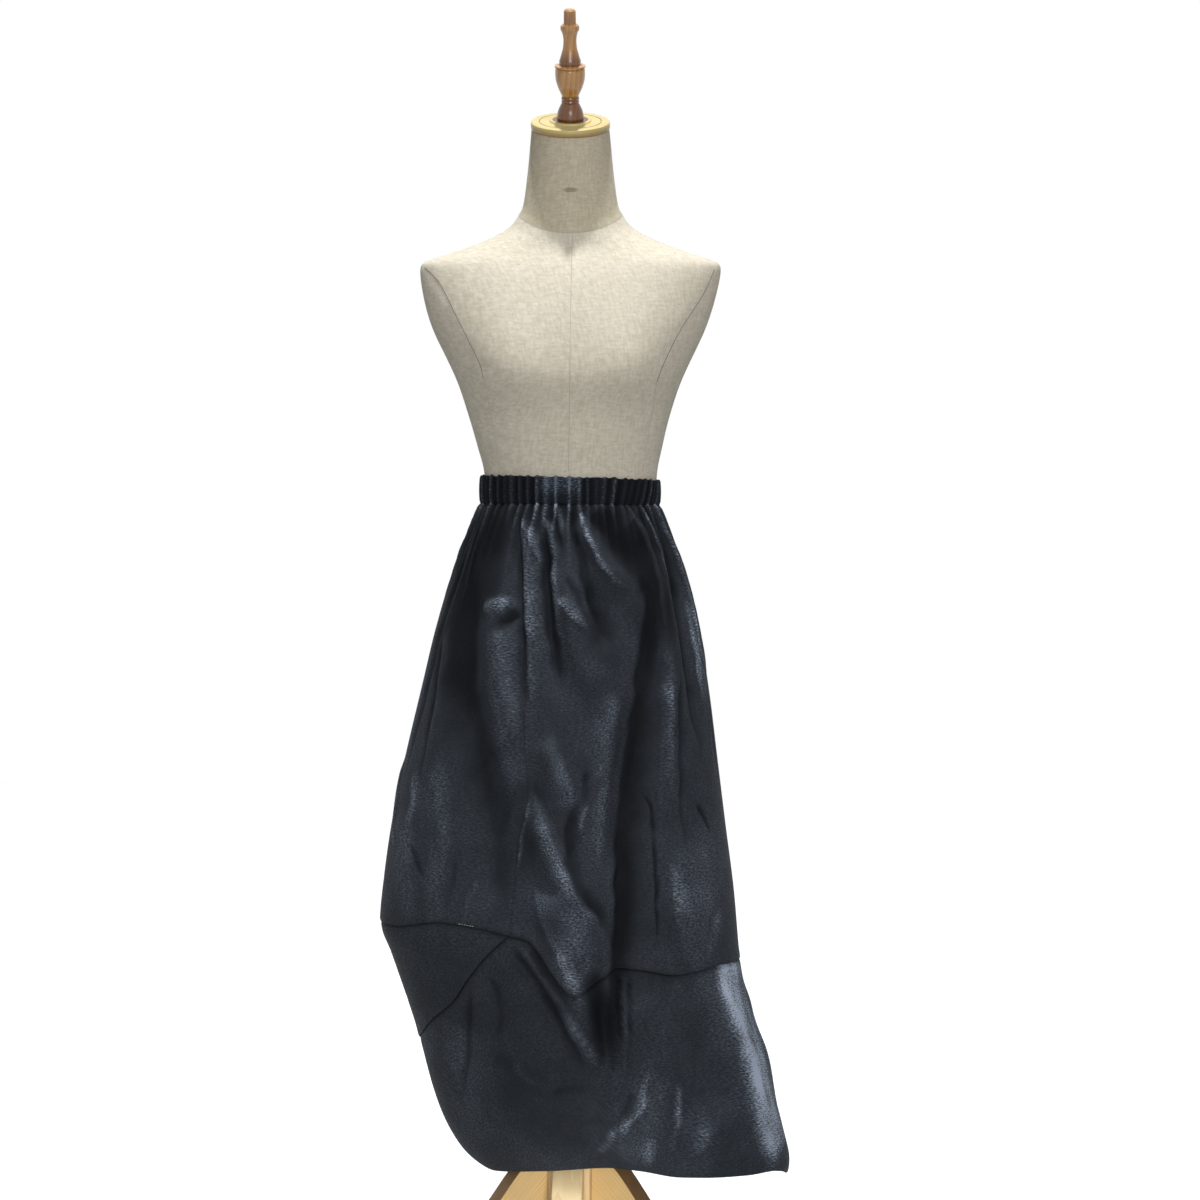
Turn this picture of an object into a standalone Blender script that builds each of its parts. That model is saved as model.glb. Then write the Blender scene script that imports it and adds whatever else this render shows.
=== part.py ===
"""Maxi skirt with a gathered elastic waist and a panelled, rolled hem, worn by a dress form on its stand.

Metres, +Z up. The stand's centre is the origin, the floor is Z = 0 and the front of the skirt faces -Y.
"""

import math

import bmesh
import bpy
import numpy as np
from mathutils import Matrix, Vector

# Cloth
CLOTH_WALL = 0.002
SEAM_GAP = 0.0004
BAND_TOP_LEFT = 1.1210
BAND_TOP_RIGHT = 1.1150
BAND_GATHERS = 24
BAND_GATHER_DEPTH = 0.0008
YOKE_RING = 8
HEM_RING = 15

# Rows and columns of the cloth grids
FRONT_COLUMNS = 16
LEFT_COLUMNS = 26
RIGHT_COLUMNS = 22
BAND_COLUMNS = 96
UPPER_ROWS = 20
GUSSET_ROWS = 4
LOWER_STEPS = (0.0, 0.10, 0.22, 0.35, 0.48, 0.61, 0.73, 0.84, 0.93, 1.0)
GUSSET_COLUMNS = 24

# Dress form
FORM_COLUMNS = 32
TORSO_LOOPS = 28
NECK_TILT = math.radians(24.0)
NECK_TOP_CENTRE = Vector((0.0, -0.0179, 1.5900))
BUST_CENTRE = (0.078, 1.262)
BUST_RISE = 0.020
BUST_SPREAD = (0.056, 0.058, 0.040)
CAP_RADIUS = 0.0535
CAP_THICKNESS = 0.0100
PLATE_INSET = 0.96
PLATE_THICKNESS = 0.012
PIECE_GAP = 0.0003

# Stand
ROUND_SIDES = 32
POLE_RADIUS = 0.016
COLLAR_RADIUS = 0.027
COLLAR_HEIGHT = 0.060
HUB_APOTHEM = 0.0380
HUB_HEIGHT = 0.215
LEG_COUNT = 5
LEG_THICKNESS = 0.041
STAND_TURN = math.radians(-3.0)

# One ring of the skirt at each height: its left and right ends, and its front and back points.
RING_COLUMNS = ("ring", "left_x", "left_z", "right_x", "right_z", "front_y", "front_z", "back_y", "back_z")
RINGS = (
    ("waist seam", -0.1225, 1.0810, 0.1215, 1.0790, -0.0945, 1.0805, 0.0915, 1.0805),
    ("gathers", -0.1400, 1.0400, 0.1375, 1.0400, -0.1120, 1.0400, 0.1080, 1.0400),
    ("upper hip", -0.1605, 0.9840, 0.1590, 0.9800, -0.1270, 0.9800, 0.1240, 0.9800),
    ("hip", -0.1840, 0.9150, 0.1765, 0.9080, -0.1380, 0.9080, 0.1380, 0.9080),
    ("thigh", -0.2050, 0.8300, 0.1900, 0.8250, -0.1470, 0.8250, 0.1490, 0.8250),
    ("mid thigh", -0.2270, 0.7380, 0.2020, 0.7280, -0.1550, 0.7350, 0.1560, 0.7350),
    ("knee", -0.2445, 0.6550, 0.2130, 0.6400, -0.1610, 0.6500, 0.1600, 0.6500),
    ("above yoke", -0.2565, 0.5750, 0.2240, 0.5550, -0.1650, 0.5700, 0.1610, 0.5700),
    ("yoke", -0.2615, 0.5100, 0.2325, 0.4600, -0.1660, 0.4980, 0.1600, 0.4880),
    ("below yoke", -0.2465, 0.4660, 0.2405, 0.4160, -0.1630, 0.4500, 0.1570, 0.4420),
    ("calf", -0.2240, 0.4000, 0.2520, 0.3700, -0.1580, 0.3960, 0.1530, 0.3900),
    ("gusset tip", -0.2085, 0.3500, 0.2680, 0.3270, -0.1510, 0.3460, 0.1470, 0.3400),
    ("shin", -0.1900, 0.2800, 0.2810, 0.2700, -0.1430, 0.2880, 0.1390, 0.2780),
    ("ankle", -0.1710, 0.2300, 0.2935, 0.2200, -0.1330, 0.2420, 0.1300, 0.2240),
    ("hem roll", -0.1450, 0.1900, 0.3015, 0.1830, -0.1260, 0.2140, 0.1240, 0.1880),
    ("hem", -0.1130, 0.1660, 0.2985, 0.1590, -0.1190, 0.1970, 0.1160, 0.1660),
    ("turned under", -0.1010, 0.1720, 0.2875, 0.1650, -0.1080, 0.2030, 0.1050, 0.1720),
)

# How far the hem lifts above its ring: degrees from the centre front, positive to the right, and rise.
HEM_LIFT_FROM_RING = 12
HEM_LIFT_COLUMNS = ("around", "rise")
HEM_LIFT = (
    (-180, 0.0), (-35, 0.0), (-12, 0.003), (0, -0.001), (15, -0.008),
    (25, -0.007), (44, -0.001), (65, 0.007), (78, 0.005), (92, 0.0), (180, 0.0),
)

# Seams that run down the front: the place across the front at each height.
SEAM_COLUMNS = ("height", "x")
LEFT_FRONT_SEAM = (
    (1.081, -0.068), (0.963, -0.065), (0.838, -0.063), (0.748, -0.058),
    (0.695, -0.055), (0.650, -0.065), (0.605, -0.071), (0.520, -0.078),
)
RIGHT_FRONT_SEAM = (
    (1.081, 0.096), (1.018, 0.111), (0.942, 0.121), (0.858, 0.122),
    (0.719, 0.119), (0.612, 0.116), (0.470, 0.115),
)

# Seams that run round: degrees from the centre front, positive to the right of the view, and height.
ROUND_SEAM_COLUMNS = ("around", "height")
YOKE_SEAM = (
    (-180, 0.488), (-120, 0.500), (-90, 0.510), (-62, 0.516), (-38, 0.530), (-27, 0.527),
    (-15, 0.518), (-9, 0.512), (-5, 0.487), (-2, 0.453), (1, 0.440), (5, 0.445), (13, 0.464),
    (18, 0.474), (25, 0.471), (39, 0.460), (60, 0.464), (90, 0.459), (130, 0.463), (180, 0.488),
)
GUSSET_SEAM = (
    (-167, 0.486), (-150, 0.456), (-130, 0.404), (-112, 0.362), (-95, 0.346),
    (-75, 0.362), (-60, 0.388), (-44, 0.420), (-32, 0.460), (-15, 0.518),
)

# Large folds. A fold follows its path of places and heights on one side of the skirt, seen from that side's
# outside: x on the front and back, y on the left and right. It rises by "rise" along the path and dies away
# over the two widths, left and right of it as seen from outside.
FOLD_COLUMNS = ("fold", "side", "left_width", "right_width", "rise", "path")
FOLDS = (
    ("left hollow", "front", 0.028, 0.024, -0.012,
     ((-0.120, 1.01), (-0.138, 0.90), (-0.143, 0.82), (-0.118, 0.74))),
    ("left lit bulge", "front", 0.018, 0.016, 0.008,
     ((-0.098, 0.95), (-0.091, 0.89), (-0.084, 0.82), (-0.074, 0.75))),
    ("left seam groove", "front", 0.013, 0.012, -0.006,
     ((-0.068, 1.06), (-0.065, 0.96), (-0.063, 0.84), (-0.062, 0.78))),
    ("centre groove", "front", 0.013, 0.014, -0.011,
     ((-0.039, 1.06), (-0.030, 0.97), (-0.022, 0.89), (-0.004, 0.81))),
    ("centre bulge", "front", 0.015, 0.026, 0.007,
     ((-0.020, 1.01), (-0.004, 0.94), (0.018, 0.87), (0.040, 0.80))),
    ("right slanting ridge", "front", 0.015, 0.018, 0.007,
     ((0.013, 1.07), (0.038, 1.01), (0.078, 0.97), (0.100, 0.90))),
    ("right short hollow", "front", 0.013, 0.012, -0.009,
     ((0.022, 0.98), (0.040, 0.93), (0.049, 0.88))),
    ("right seam ridge", "front", 0.013, 0.015, 0.006,
     ((0.097, 1.05), (0.124, 0.96), (0.138, 0.86), (0.143, 0.76))),
    ("right side hollow", "front", 0.012, 0.014, -0.008,
     ((0.126, 1.04), (0.147, 0.95), (0.162, 0.86), (0.172, 0.75))),
    ("long right hollow", "front", 0.016, 0.022, -0.015,
     ((0.092, 0.84), (0.072, 0.75), (0.066, 0.64), (0.062, 0.56))),
    ("left middle hollow", "front", 0.022, 0.024, -0.011,
     ((-0.086, 0.73), (-0.102, 0.66), (-0.110, 0.60), (-0.106, 0.54))),
    ("upper slanting bulge", "front", 0.017, 0.014, 0.007,
     ((-0.036, 0.78), (-0.014, 0.72), (0.004, 0.69))),
    ("lower slanting bulge", "front", 0.018, 0.014, 0.008,
     ((-0.045, 0.69), (-0.026, 0.64), (0.000, 0.59), (0.028, 0.55))),
    ("drape point", "front", 0.027, 0.026, 0.015,
     ((-0.020, 0.59), (-0.004, 0.53), (0.011, 0.46))),
    ("right low bulge", "front", 0.026, 0.026, 0.007,
     ((0.144, 0.66), (0.147, 0.57), (0.150, 0.50))),
    ("slanting hollow", "front", 0.015, 0.013, -0.009,
     ((-0.066, 0.49), (-0.036, 0.44), (0.000, 0.38), (0.022, 0.33))),
    ("slanting ridge", "front", 0.014, 0.014, 0.010,
     ((-0.014, 0.43), (0.016, 0.38), (0.044, 0.33))),
    ("deep hollow", "front", 0.015, 0.013, -0.016,
     ((0.046, 0.45), (0.049, 0.38), (0.053, 0.32))),
    ("lower front edge", "front", 0.013, 0.030, 0.009,
     ((0.075, 0.47), (0.072, 0.37), (0.060, 0.30), (0.040, 0.23))),
    ("right flare ridge", "front", 0.024, 0.026, 0.009,
     ((0.194, 0.45), (0.220, 0.37), (0.250, 0.27), (0.276, 0.20))),
    ("right flare hollow", "front", 0.026, 0.022, -0.008,
     ((0.160, 0.42), (0.186, 0.34), (0.212, 0.25))),
    ("gusset crease", "front", 0.015, 0.014, -0.006,
     ((-0.105, 0.47), (-0.095, 0.42), (-0.103, 0.36))),
    ("lower left hollow", "front", 0.015, 0.016, -0.006,
     ((-0.132, 0.45), (-0.140, 0.37), (-0.147, 0.27))),
    ("left front ridge", "left", 0.020, 0.016, 0.007,
     ((-0.075, 0.93), (-0.092, 0.82), (-0.096, 0.70))),
    ("left side hollow", "left", 0.020, 0.020, -0.011,
     ((0.036, 0.99), (0.040, 0.82), (0.038, 0.64))),
    ("left back ridge", "left", 0.018, 0.022, 0.008,
     ((0.076, 1.00), (0.092, 0.82), (0.094, 0.66))),
    ("right back ridge", "right", 0.018, 0.020, 0.008,
     ((0.040, 1.00), (0.052, 0.84), (0.060, 0.66))),
    ("right back hollow", "right", 0.018, 0.022, -0.010,
     ((0.085, 0.96), (0.098, 0.78), (0.104, 0.58))),
    ("right hem wave", "right", 0.024, 0.026, -0.009,
     ((0.034, 0.42), (0.040, 0.32), (0.044, 0.22))),
    ("back left hollow", "back", 0.020, 0.024, -0.012,
     ((-0.094, 1.02), (-0.116, 0.86), (-0.126, 0.66), (-0.118, 0.54))),
    ("back left ridge", "back", 0.016, 0.018, 0.008,
     ((-0.052, 1.03), (-0.064, 0.88), (-0.072, 0.72))),
    ("back centre hollow", "back", 0.018, 0.020, -0.011,
     ((-0.012, 1.03), (-0.022, 0.86), (-0.030, 0.68))),
    ("back right ridge", "back", 0.020, 0.022, 0.010,
     ((0.034, 1.03), (0.042, 0.84), (0.056, 0.64), (0.052, 0.53))),
    ("back right hollow", "back", 0.018, 0.022, -0.012,
     ((0.082, 1.02), (0.100, 0.84), (0.116, 0.64))),
    ("back low ridge", "back", 0.022, 0.022, 0.009,
     ((-0.060, 0.45), (-0.020, 0.35), (0.050, 0.26))),
    ("back low hollow", "back", 0.020, 0.022, -0.009,
     ((-0.010, 0.44), (0.050, 0.35), (0.130, 0.27))),
)
FOLD_FADE = 0.28

# Sections of the form: middle and half width, height at the sides, and the front and back points.
FORM_RING_COLUMNS = ("ring", "middle_x", "half_width", "side_z", "front_y", "front_z", "back_y", "back_z")
TORSO_RINGS = (
    ("base", 0.0, 0.1520, 0.8000, -0.0990, 0.8000, 0.1060, 0.8000),
    ("low hip", 0.0, 0.1630, 0.8200, -0.1090, 0.8200, 0.1190, 0.8200),
    ("hip", 0.0, 0.1650, 0.8750, -0.1110, 0.8750, 0.1230, 0.8750),
    ("high hip", 0.0, 0.1520, 0.9500, -0.1030, 0.9500, 0.1120, 0.9500),
    ("below waist", 0.0, 0.1300, 1.0200, -0.0930, 1.0200, 0.0950, 1.0200),
    ("waist", 0.0, 0.1178, 1.0820, -0.0890, 1.0820, 0.0862, 1.0820),
    ("above waist", 0.0, 0.1182, 1.1250, -0.0892, 1.1250, 0.0862, 1.1250),
    ("ribs", -0.0010, 0.1260, 1.1600, -0.0940, 1.1600, 0.0900, 1.1600),
    ("under bust", -0.0020, 0.1365, 1.2000, -0.1000, 1.1980, 0.0960, 1.2000),
    ("bust", -0.0020, 0.1520, 1.2475, -0.1110, 1.2440, 0.1040, 1.2500),
    ("armpit", -0.0020, 0.1720, 1.2910, -0.1090, 1.2940, 0.1090, 1.2900),
    ("chest", -0.0025, 0.1910, 1.3300, -0.1020, 1.3400, 0.1120, 1.3300),
    ("upper chest", -0.0010, 0.2025, 1.3780, -0.0850, 1.3810, 0.1090, 1.3780),
    ("armhole", 0.0, 0.2060, 1.4060, -0.0710, 1.4020, 0.0990, 1.4070),
    ("shoulder tip", 0.0, 0.1990, 1.4125, -0.0670, 1.4070, 0.0940, 1.4150),
    ("outer shoulder", 0.0, 0.1680, 1.4225, -0.0630, 1.4160, 0.0860, 1.4320),
    ("shoulder", 0.0, 0.1250, 1.4370, -0.0600, 1.4260, 0.0760, 1.4500),
    ("collar", 0.0, 0.0860, 1.4555, -0.0585, 1.4355, 0.0665, 1.4680),
    ("neck seam", 0.0, 0.0700, 1.4770, -0.0570, 1.4440, 0.0600, 1.4850),
)
NECK_RINGS = (
    ("neck seam", 0.0, 0.0695, 1.4774, -0.0565, 1.4444, 0.0595, 1.4854),
    ("low", 0.0, 0.0640, 1.4920, -0.0568, 1.4630, 0.0545, 1.5030),
    ("middle", 0.0, 0.0585, 1.5330, -0.0600, 1.5090, 0.0450, 1.5490),
    ("high", 0.0, 0.0552, 1.5685, -0.0645, 1.5485, 0.0350, 1.5912),
)
NECK_TOP_RADIUS = 0.0525

# Turned profiles: radius and height along the axis of the neck cap.
CAP_PROFILE = (
    (CAP_RADIUS - 0.0015, 0.0), (CAP_RADIUS, 0.0020),
    (CAP_RADIUS, 0.0075), (CAP_RADIUS - 0.0022, CAP_THICKNESS),
    (0.0430, CAP_THICKNESS), (0.0424, 0.0090), (0.0416, 0.0090), (0.0410, CAP_THICKNESS),
    (0.0285, 0.0104), (0.0275, 0.0122),
)
FINIAL_PROFILE = (
    (0.0180, 0.0000), (0.0182, 0.0040), (0.0165, 0.0120), (0.0128, 0.0200), (0.0114, 0.0225),
    (0.0122, 0.0240), (0.0114, 0.0262), (0.0122, 0.0285), (0.0112, 0.0310), (0.0126, 0.0345),
    (0.0165, 0.0430), (0.0196, 0.0540), (0.0200, 0.0660), (0.0186, 0.0690), (0.0207, 0.0702),
    (0.0207, 0.0722), (0.0142, 0.0738), (0.0146, 0.0780), (0.0118, 0.0870), (0.0094, 0.0960),
    (0.0088, 0.1070), (0.0104, 0.1150), (0.0126, 0.1200), (0.0122, 0.1250), (0.0082, 0.1275),
    (0.0080, 0.1440), (0.0060, 0.1460),
)
TURNED_SIDES = 24

# Outline of one leg: distance from the stand's centre, and height.
LEG_TOP = (
    (0.0383, 0.1960), (0.0570, 0.1890), (0.0740, 0.1750), (0.0870, 0.1590), (0.0995, 0.1420),
    (0.1140, 0.1220), (0.1400, 0.0880), (0.1800, 0.0600),
    (0.2400, 0.0420), (0.2960, 0.0320), (0.3050, 0.0240),
)
LEG_UNDERSIDE = (
    (0.3050, 0.0), (0.2450, 0.0), (0.2350, 0.0100), (0.0850, 0.0100), (0.0750, 0.0), (0.0383, 0.0),
)

# Colour, roughness and metallic value of each material
MATERIALS = {
    "black_cloth": ((0.020, 0.022, 0.027, 1.0), 0.55, 0.0),
    "linen": ((0.70, 0.64, 0.54, 1.0), 0.90, 0.0),
    "pale_wood": ((0.66, 0.44, 0.22, 1.0), 0.45, 0.0),
    "turned_wood": ((0.36, 0.15, 0.06, 1.0), 0.30, 0.0),
    "stand_wood": ((0.62, 0.42, 0.22, 1.0), 0.60, 0.0),
    "steel": ((0.55, 0.55, 0.56, 1.0), 0.35, 1.0),
}


def clear_scene():
    for item in list(bpy.data.objects):
        bpy.data.objects.remove(item, do_unlink=True)


def material(name):
    """The named material, made on its first use."""
    found = bpy.data.materials.get(name)
    if found:
        return found
    colour, roughness, metallic = MATERIALS[name]
    made = bpy.data.materials.new(name)
    made.use_nodes = True
    shader = made.node_tree.nodes["Principled BSDF"]
    shader.inputs["Base Color"].default_value = colour
    shader.inputs["Roughness"].default_value = roughness
    shader.inputs["Metallic"].default_value = metallic
    return made


def add_object(name, mesh, material_name):
    """Puts a finished mesh in the scene with its material, shaded smooth between its sharp edges."""
    mesh.materials.append(material(material_name))
    mesh.shade_smooth()
    mesh.set_sharp_from_angle(angle=math.radians(40.0))
    item = bpy.data.objects.new(name, mesh)
    bpy.context.scene.collection.objects.link(item)
    return item


def mesh_from(name, points, faces):
    mesh = bpy.data.meshes.new(name)
    mesh.from_pydata([tuple(point) for point in points], [], [tuple(face) for face in faces])
    shape = bmesh.new()
    shape.from_mesh(mesh)
    bmesh.ops.remove_doubles(shape, verts=shape.verts, dist=1e-6)
    bmesh.ops.dissolve_degenerate(shape, edges=shape.edges, dist=1e-6)
    bmesh.ops.recalc_face_normals(shape, faces=shape.faces)
    shape.to_mesh(mesh)
    shape.free()
    return mesh


def catmull(before, start, end, after, part):
    """A point on the smooth curve from start to end, with the points before and after them."""
    linear = end - before
    square = 2.0 * before - 5.0 * start + 4.0 * end - after
    cube = 3.0 * (start - end) + after - before
    return 0.5 * (2.0 * start + part * (linear + part * (square + part * cube)))


def along_rows(rows, place):
    """The values at a fractional row number of a table of numbers, on a smooth curve through its rows."""
    rows = np.asarray(rows, float)
    place = np.asarray(place, float)
    last = len(rows) - 1
    index = np.clip(np.floor(place).astype(int), 0, last - 1)
    part = (place - index)[..., None]
    around = [rows[np.clip(index + step, 0, last)] for step in (-1, 0, 1, 2)]
    return catmull(*around, part)


def smooth_value(table, key):
    """The second column of a table at a value of its first, on a smooth curve with no overshoot."""
    keys, values = np.array(sorted(table), float).T
    slopes = np.diff(values) / np.diff(keys)
    tangents = np.zeros(len(keys))
    same_way = slopes[:-1] * slopes[1:] > 0.0
    tangents[1:-1][same_way] = 2.0 / (1.0 / slopes[:-1][same_way] + 1.0 / slopes[1:][same_way])
    tangents[0], tangents[-1] = slopes[0], slopes[-1]
    key = np.clip(key, keys[0], keys[-1])
    index = np.clip(np.searchsorted(keys, key, side="right") - 1, 0, len(keys) - 2)
    width = keys[index + 1] - keys[index]
    part = (key - keys[index]) / width
    return (
        values[index] * (1.0 + 2.0 * part) * (1.0 - part) ** 2
        + values[index + 1] * (3.0 - 2.0 * part) * part**2
        + tangents[index] * width * part * (1.0 - part) ** 2
        + tangents[index + 1] * width * part**2 * (part - 1.0)
    )


def ring_point(measures, around):
    """The point of a ring at an angle from its front, given its four ends' measures in the columns' order."""
    left_x, left_z, right_x, right_z, front_y, front_z, back_y, back_z = np.moveaxis(measures, -1, 0)
    sine = np.sin(around)
    cosine = np.cos(around)
    x = 0.5 * (left_x + right_x) + 0.5 * (right_x - left_x) * sine
    y = np.where(cosine > 0.0, front_y * cosine, -back_y * cosine)
    z = 0.25 * (left_z + right_z + front_z + back_z)
    z = z + 0.5 * (right_z - left_z) * sine + 0.5 * (front_z - back_z) * cosine
    z = z + 0.25 * (front_z + back_z - left_z - right_z) * np.cos(2.0 * around)
    return np.stack([x, y, z], axis=-1)


def skirt_point(around, ring):
    """A point of the skirt before its folds, at an angle from the centre front and a ring number."""
    points = ring_point(along_rows([row[1:] for row in RINGS], ring), around)
    share = np.clip((ring - HEM_LIFT_FROM_RING) / (HEM_RING - HEM_LIFT_FROM_RING), 0.0, 1.0)
    points[..., 2] += smooth_value(HEM_LIFT, np.degrees(around)) * share * share * (3.0 - 2.0 * share)
    return points


def unit(vectors):
    return vectors / np.linalg.norm(vectors, axis=-1, keepdims=True)


def surface_normal(surface, around, ring, step=1e-3):
    """The outward normal of a surface given as a function of angle and ring number."""
    across = surface(around + step, ring) - surface(around - step, ring)
    upper = np.maximum(ring - step, 0.0)
    lower = np.minimum(ring + step, len(RINGS) - 1.0)
    down = surface(around, lower) - surface(around, upper)
    return unit(np.cross(down, across))


def ring_at_height(around, height):
    """The ring number at which the skirt passes a height, for each angle."""
    rings = np.linspace(0.0, HEM_RING, 301)
    found = []
    for angle, wanted in zip(around, height):
        heights = skirt_point(np.full(len(rings), angle), rings)[:, 2]
        found.append(np.interp(-wanted, -heights, rings))
    return np.array(found)


def angle_of(side, place, ring):
    """The angle round the skirt of a place on one of its sides: x on the front and back, y on the others."""
    measures = along_rows([row[1:] for row in RINGS], ring)
    left_x, right_x, front_y, back_y = measures[..., 0], measures[..., 2], measures[..., 4], measures[..., 6]
    if side in ("front", "back"):
        angle = np.arcsin(np.clip((2.0 * place - left_x - right_x) / (right_x - left_x), -1.0, 1.0))
        return angle if side == "front" else math.pi - angle
    angle = np.arccos(np.clip(np.where(place < 0.0, place / front_y, -place / back_y), -1.0, 1.0))
    return angle if side == "right" else -angle


def fold_path(side, path, samples=14):
    """Points on the unfolded skirt along a fold, from its top to its end."""
    places = along_rows(path, np.linspace(0.0, len(path) - 1.0, samples))
    ring = np.full(samples, 6.0)
    for _ in range(4):
        around = angle_of(side, places[:, 0], ring)
        ring = ring_at_height(around, places[:, 1])
    return skirt_point(around, ring)


def fold_rise(points, normals):
    """How far the folds lift each point of the unfolded skirt, all added together."""
    total = np.zeros(points.shape[:-1])
    for _, side, left_width, right_width, rise, path in FOLDS:
        line = fold_path(side, path)
        starts = line[:-1]
        runs = line[1:] - starts
        lengths = np.linalg.norm(runs, axis=1)
        offset = points[..., None, :] - starts
        part = np.clip((offset * runs).sum(-1) / lengths**2, 0.0, 1.0)
        gap = offset - part[..., None] * runs
        nearest = np.argmin((gap**2).sum(-1), axis=-1)[..., None]
        gap = np.take_along_axis(gap, nearest[..., None], axis=-2)[..., 0, :]
        part = np.take_along_axis(part, nearest, axis=-1)[..., 0]
        nearest = nearest[..., 0]
        way = runs[nearest] / lengths[nearest][..., None]
        right = (np.cross(normals, way) * gap).sum(-1) > 0.0
        width = np.where(right, right_width, left_width)
        fall = np.exp(-((gap**2).sum(-1)) / width**2)
        run = (np.concatenate([[0.0], np.cumsum(lengths)])[nearest] + part * lengths[nearest]) / lengths.sum()
        edge = np.clip(np.minimum(run, 1.0 - run) / FOLD_FADE, 0.0, 1.0)
        total += rise * fall * edge * edge * (3.0 - 2.0 * edge)
    return total


def cloth_point(around, ring):
    """A point on the outside of the skirt with its folds."""
    points = skirt_point(around, ring)
    normals = surface_normal(skirt_point, around, ring)
    return points + fold_rise(points, normals)[..., None] * normals


def seam_angle(seam, ring):
    """The angle of a front seam at each ring number."""
    around = np.zeros(len(ring))
    for _ in range(6):
        height = skirt_point(around, ring)[:, 2]
        around = angle_of("front", smooth_value(seam, height), ring)
    return around


def yoke_rings(around):
    return ring_at_height(around, smooth_value(YOKE_SEAM, np.degrees(around)))


def trimmed(points):
    """A grid of points with its four edges drawn in by half the seam gap."""
    result = points.copy()
    half = 0.5 * SEAM_GAP
    for axis in (0, 1):
        rows = np.moveaxis(result, axis, 0)
        first = rows[1] - rows[0]
        last = rows[-2] - rows[-1]
        for edge, way in ((0, first), (-1, last)):
            length = np.linalg.norm(way, axis=-1, keepdims=True)
            rows[edge] = rows[edge] + np.where(length > half, way / np.maximum(length, half), 0.0) * half
    return result


def cloth_wall(name, around, ring):
    """A closed wall of cloth over a grid of angles and ring numbers, its rows running downwards."""
    normals = surface_normal(cloth_point, around, ring)
    outer = trimmed(cloth_point(around, ring))
    inner = outer - CLOTH_WALL * normals
    rows, columns = around.shape
    points = np.concatenate([outer.reshape(-1, 3), inner.reshape(-1, 3)])
    inside = rows * columns
    faces = []
    for row in range(rows - 1):
        for column in range(columns - 1):
            a = row * columns + column
            b = a + 1
            c = b + columns
            d = a + columns
            faces.append((a, d, c, b))
            faces.append((inside + a, inside + b, inside + c, inside + d))
    border = [(0, column) for column in range(columns)]
    border += [(row, columns - 1) for row in range(1, rows)]
    border += [(rows - 1, column) for column in range(columns - 2, -1, -1)]
    border += [(row, 0) for row in range(rows - 2, 0, -1)]
    numbers = [row * columns + column for row, column in border]
    for one, two in zip(numbers, numbers[1:] + numbers[:1]):
        faces.append((one, two, inside + two, inside + one))
    return add_object(name, mesh_from(name, points, faces), "black_cloth")


def upper_grid(left_edge, right_edge, columns):
    """Angles and ring numbers of an upper panel between two edges, each a function of the ring number."""
    ends = [edge(np.array([YOKE_RING], float))[0] for edge in (left_edge, right_edge)]
    shares = np.linspace(0.0, 1.0, columns + 1)
    at_yoke = ends[0] + (ends[1] - ends[0]) * shares
    last_rings = yoke_rings(at_yoke)
    fractions = np.linspace(0.0, 1.0, UPPER_ROWS + 1)
    left = left_edge(fractions * last_rings[0])
    right = right_edge(fractions * last_rings[-1])
    left[-1], right[-1] = at_yoke[0], at_yoke[-1]
    around = left[:, None] + (right - left)[:, None] * shares
    return around, fractions[:, None] * last_rings[None, :]


def left_seam(ring):
    return seam_angle(LEFT_FRONT_SEAM, ring)


def right_seam(ring):
    return seam_angle(RIGHT_FRONT_SEAM, ring)


def back_from_left(ring):
    return np.full(len(ring), -math.pi)


def back_from_right(ring):
    return np.full(len(ring), math.pi)


def build_upper_panels():
    """The three gathered upper panels. Returns the angles of their columns along the yoke seam."""
    panels = (
        ("skirt_upper_left", back_from_left, left_seam, LEFT_COLUMNS),
        ("skirt_upper_front", left_seam, right_seam, FRONT_COLUMNS),
        ("skirt_upper_right", right_seam, back_from_right, RIGHT_COLUMNS),
    )
    at_yoke = []
    for name, left_edge, right_edge, columns in panels:
        around, ring = upper_grid(left_edge, right_edge, columns)
        cloth_wall(name, around, ring)
        at_yoke.append(around[-1])
    return at_yoke


def build_gusset(left_angles):
    """The three-cornered piece at the left of the lower skirt, between the yoke and the slanting seam."""
    angles = left_angles[LEFT_COLUMNS - GUSSET_COLUMNS:]
    top = yoke_rings(angles)
    foot = ring_at_height(angles, smooth_value(GUSSET_SEAM, np.degrees(angles)))
    corner = math.radians(0.7)
    angles = angles.copy()
    angles[0] += corner
    angles[-1] -= corner
    foot[0], foot[-1] = top[0], top[-1]
    shares = np.linspace(0.0, 1.0, GUSSET_ROWS + 1)[:, None]
    ring = top + (foot - top) * shares
    cloth_wall("skirt_lower_gusset", np.broadcast_to(angles, ring.shape).copy(), ring)


def build_lower_panel(at_yoke):
    """The lower skirt, one piece round the body from the centre back, with its hem turned under."""
    left_angles = at_yoke[0]
    angles = np.concatenate([left_angles, at_yoke[1][1:], at_yoke[2][1:]])
    top = yoke_rings(angles)
    first = LEFT_COLUMNS - GUSSET_COLUMNS
    under_gusset = slice(first + 1, LEFT_COLUMNS)
    seam_heights = smooth_value(GUSSET_SEAM, np.degrees(angles[under_gusset]))
    top[under_gusset] = ring_at_height(angles[under_gusset], seam_heights)
    shares = np.array(LOWER_STEPS)[:, None]
    ring = top + (HEM_RING - top) * shares
    ring = np.concatenate([ring, np.full((1, len(angles)), len(RINGS) - 1.0)])
    cloth_wall("skirt_lower_main", np.broadcast_to(angles, ring.shape).copy(), ring)


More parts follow.
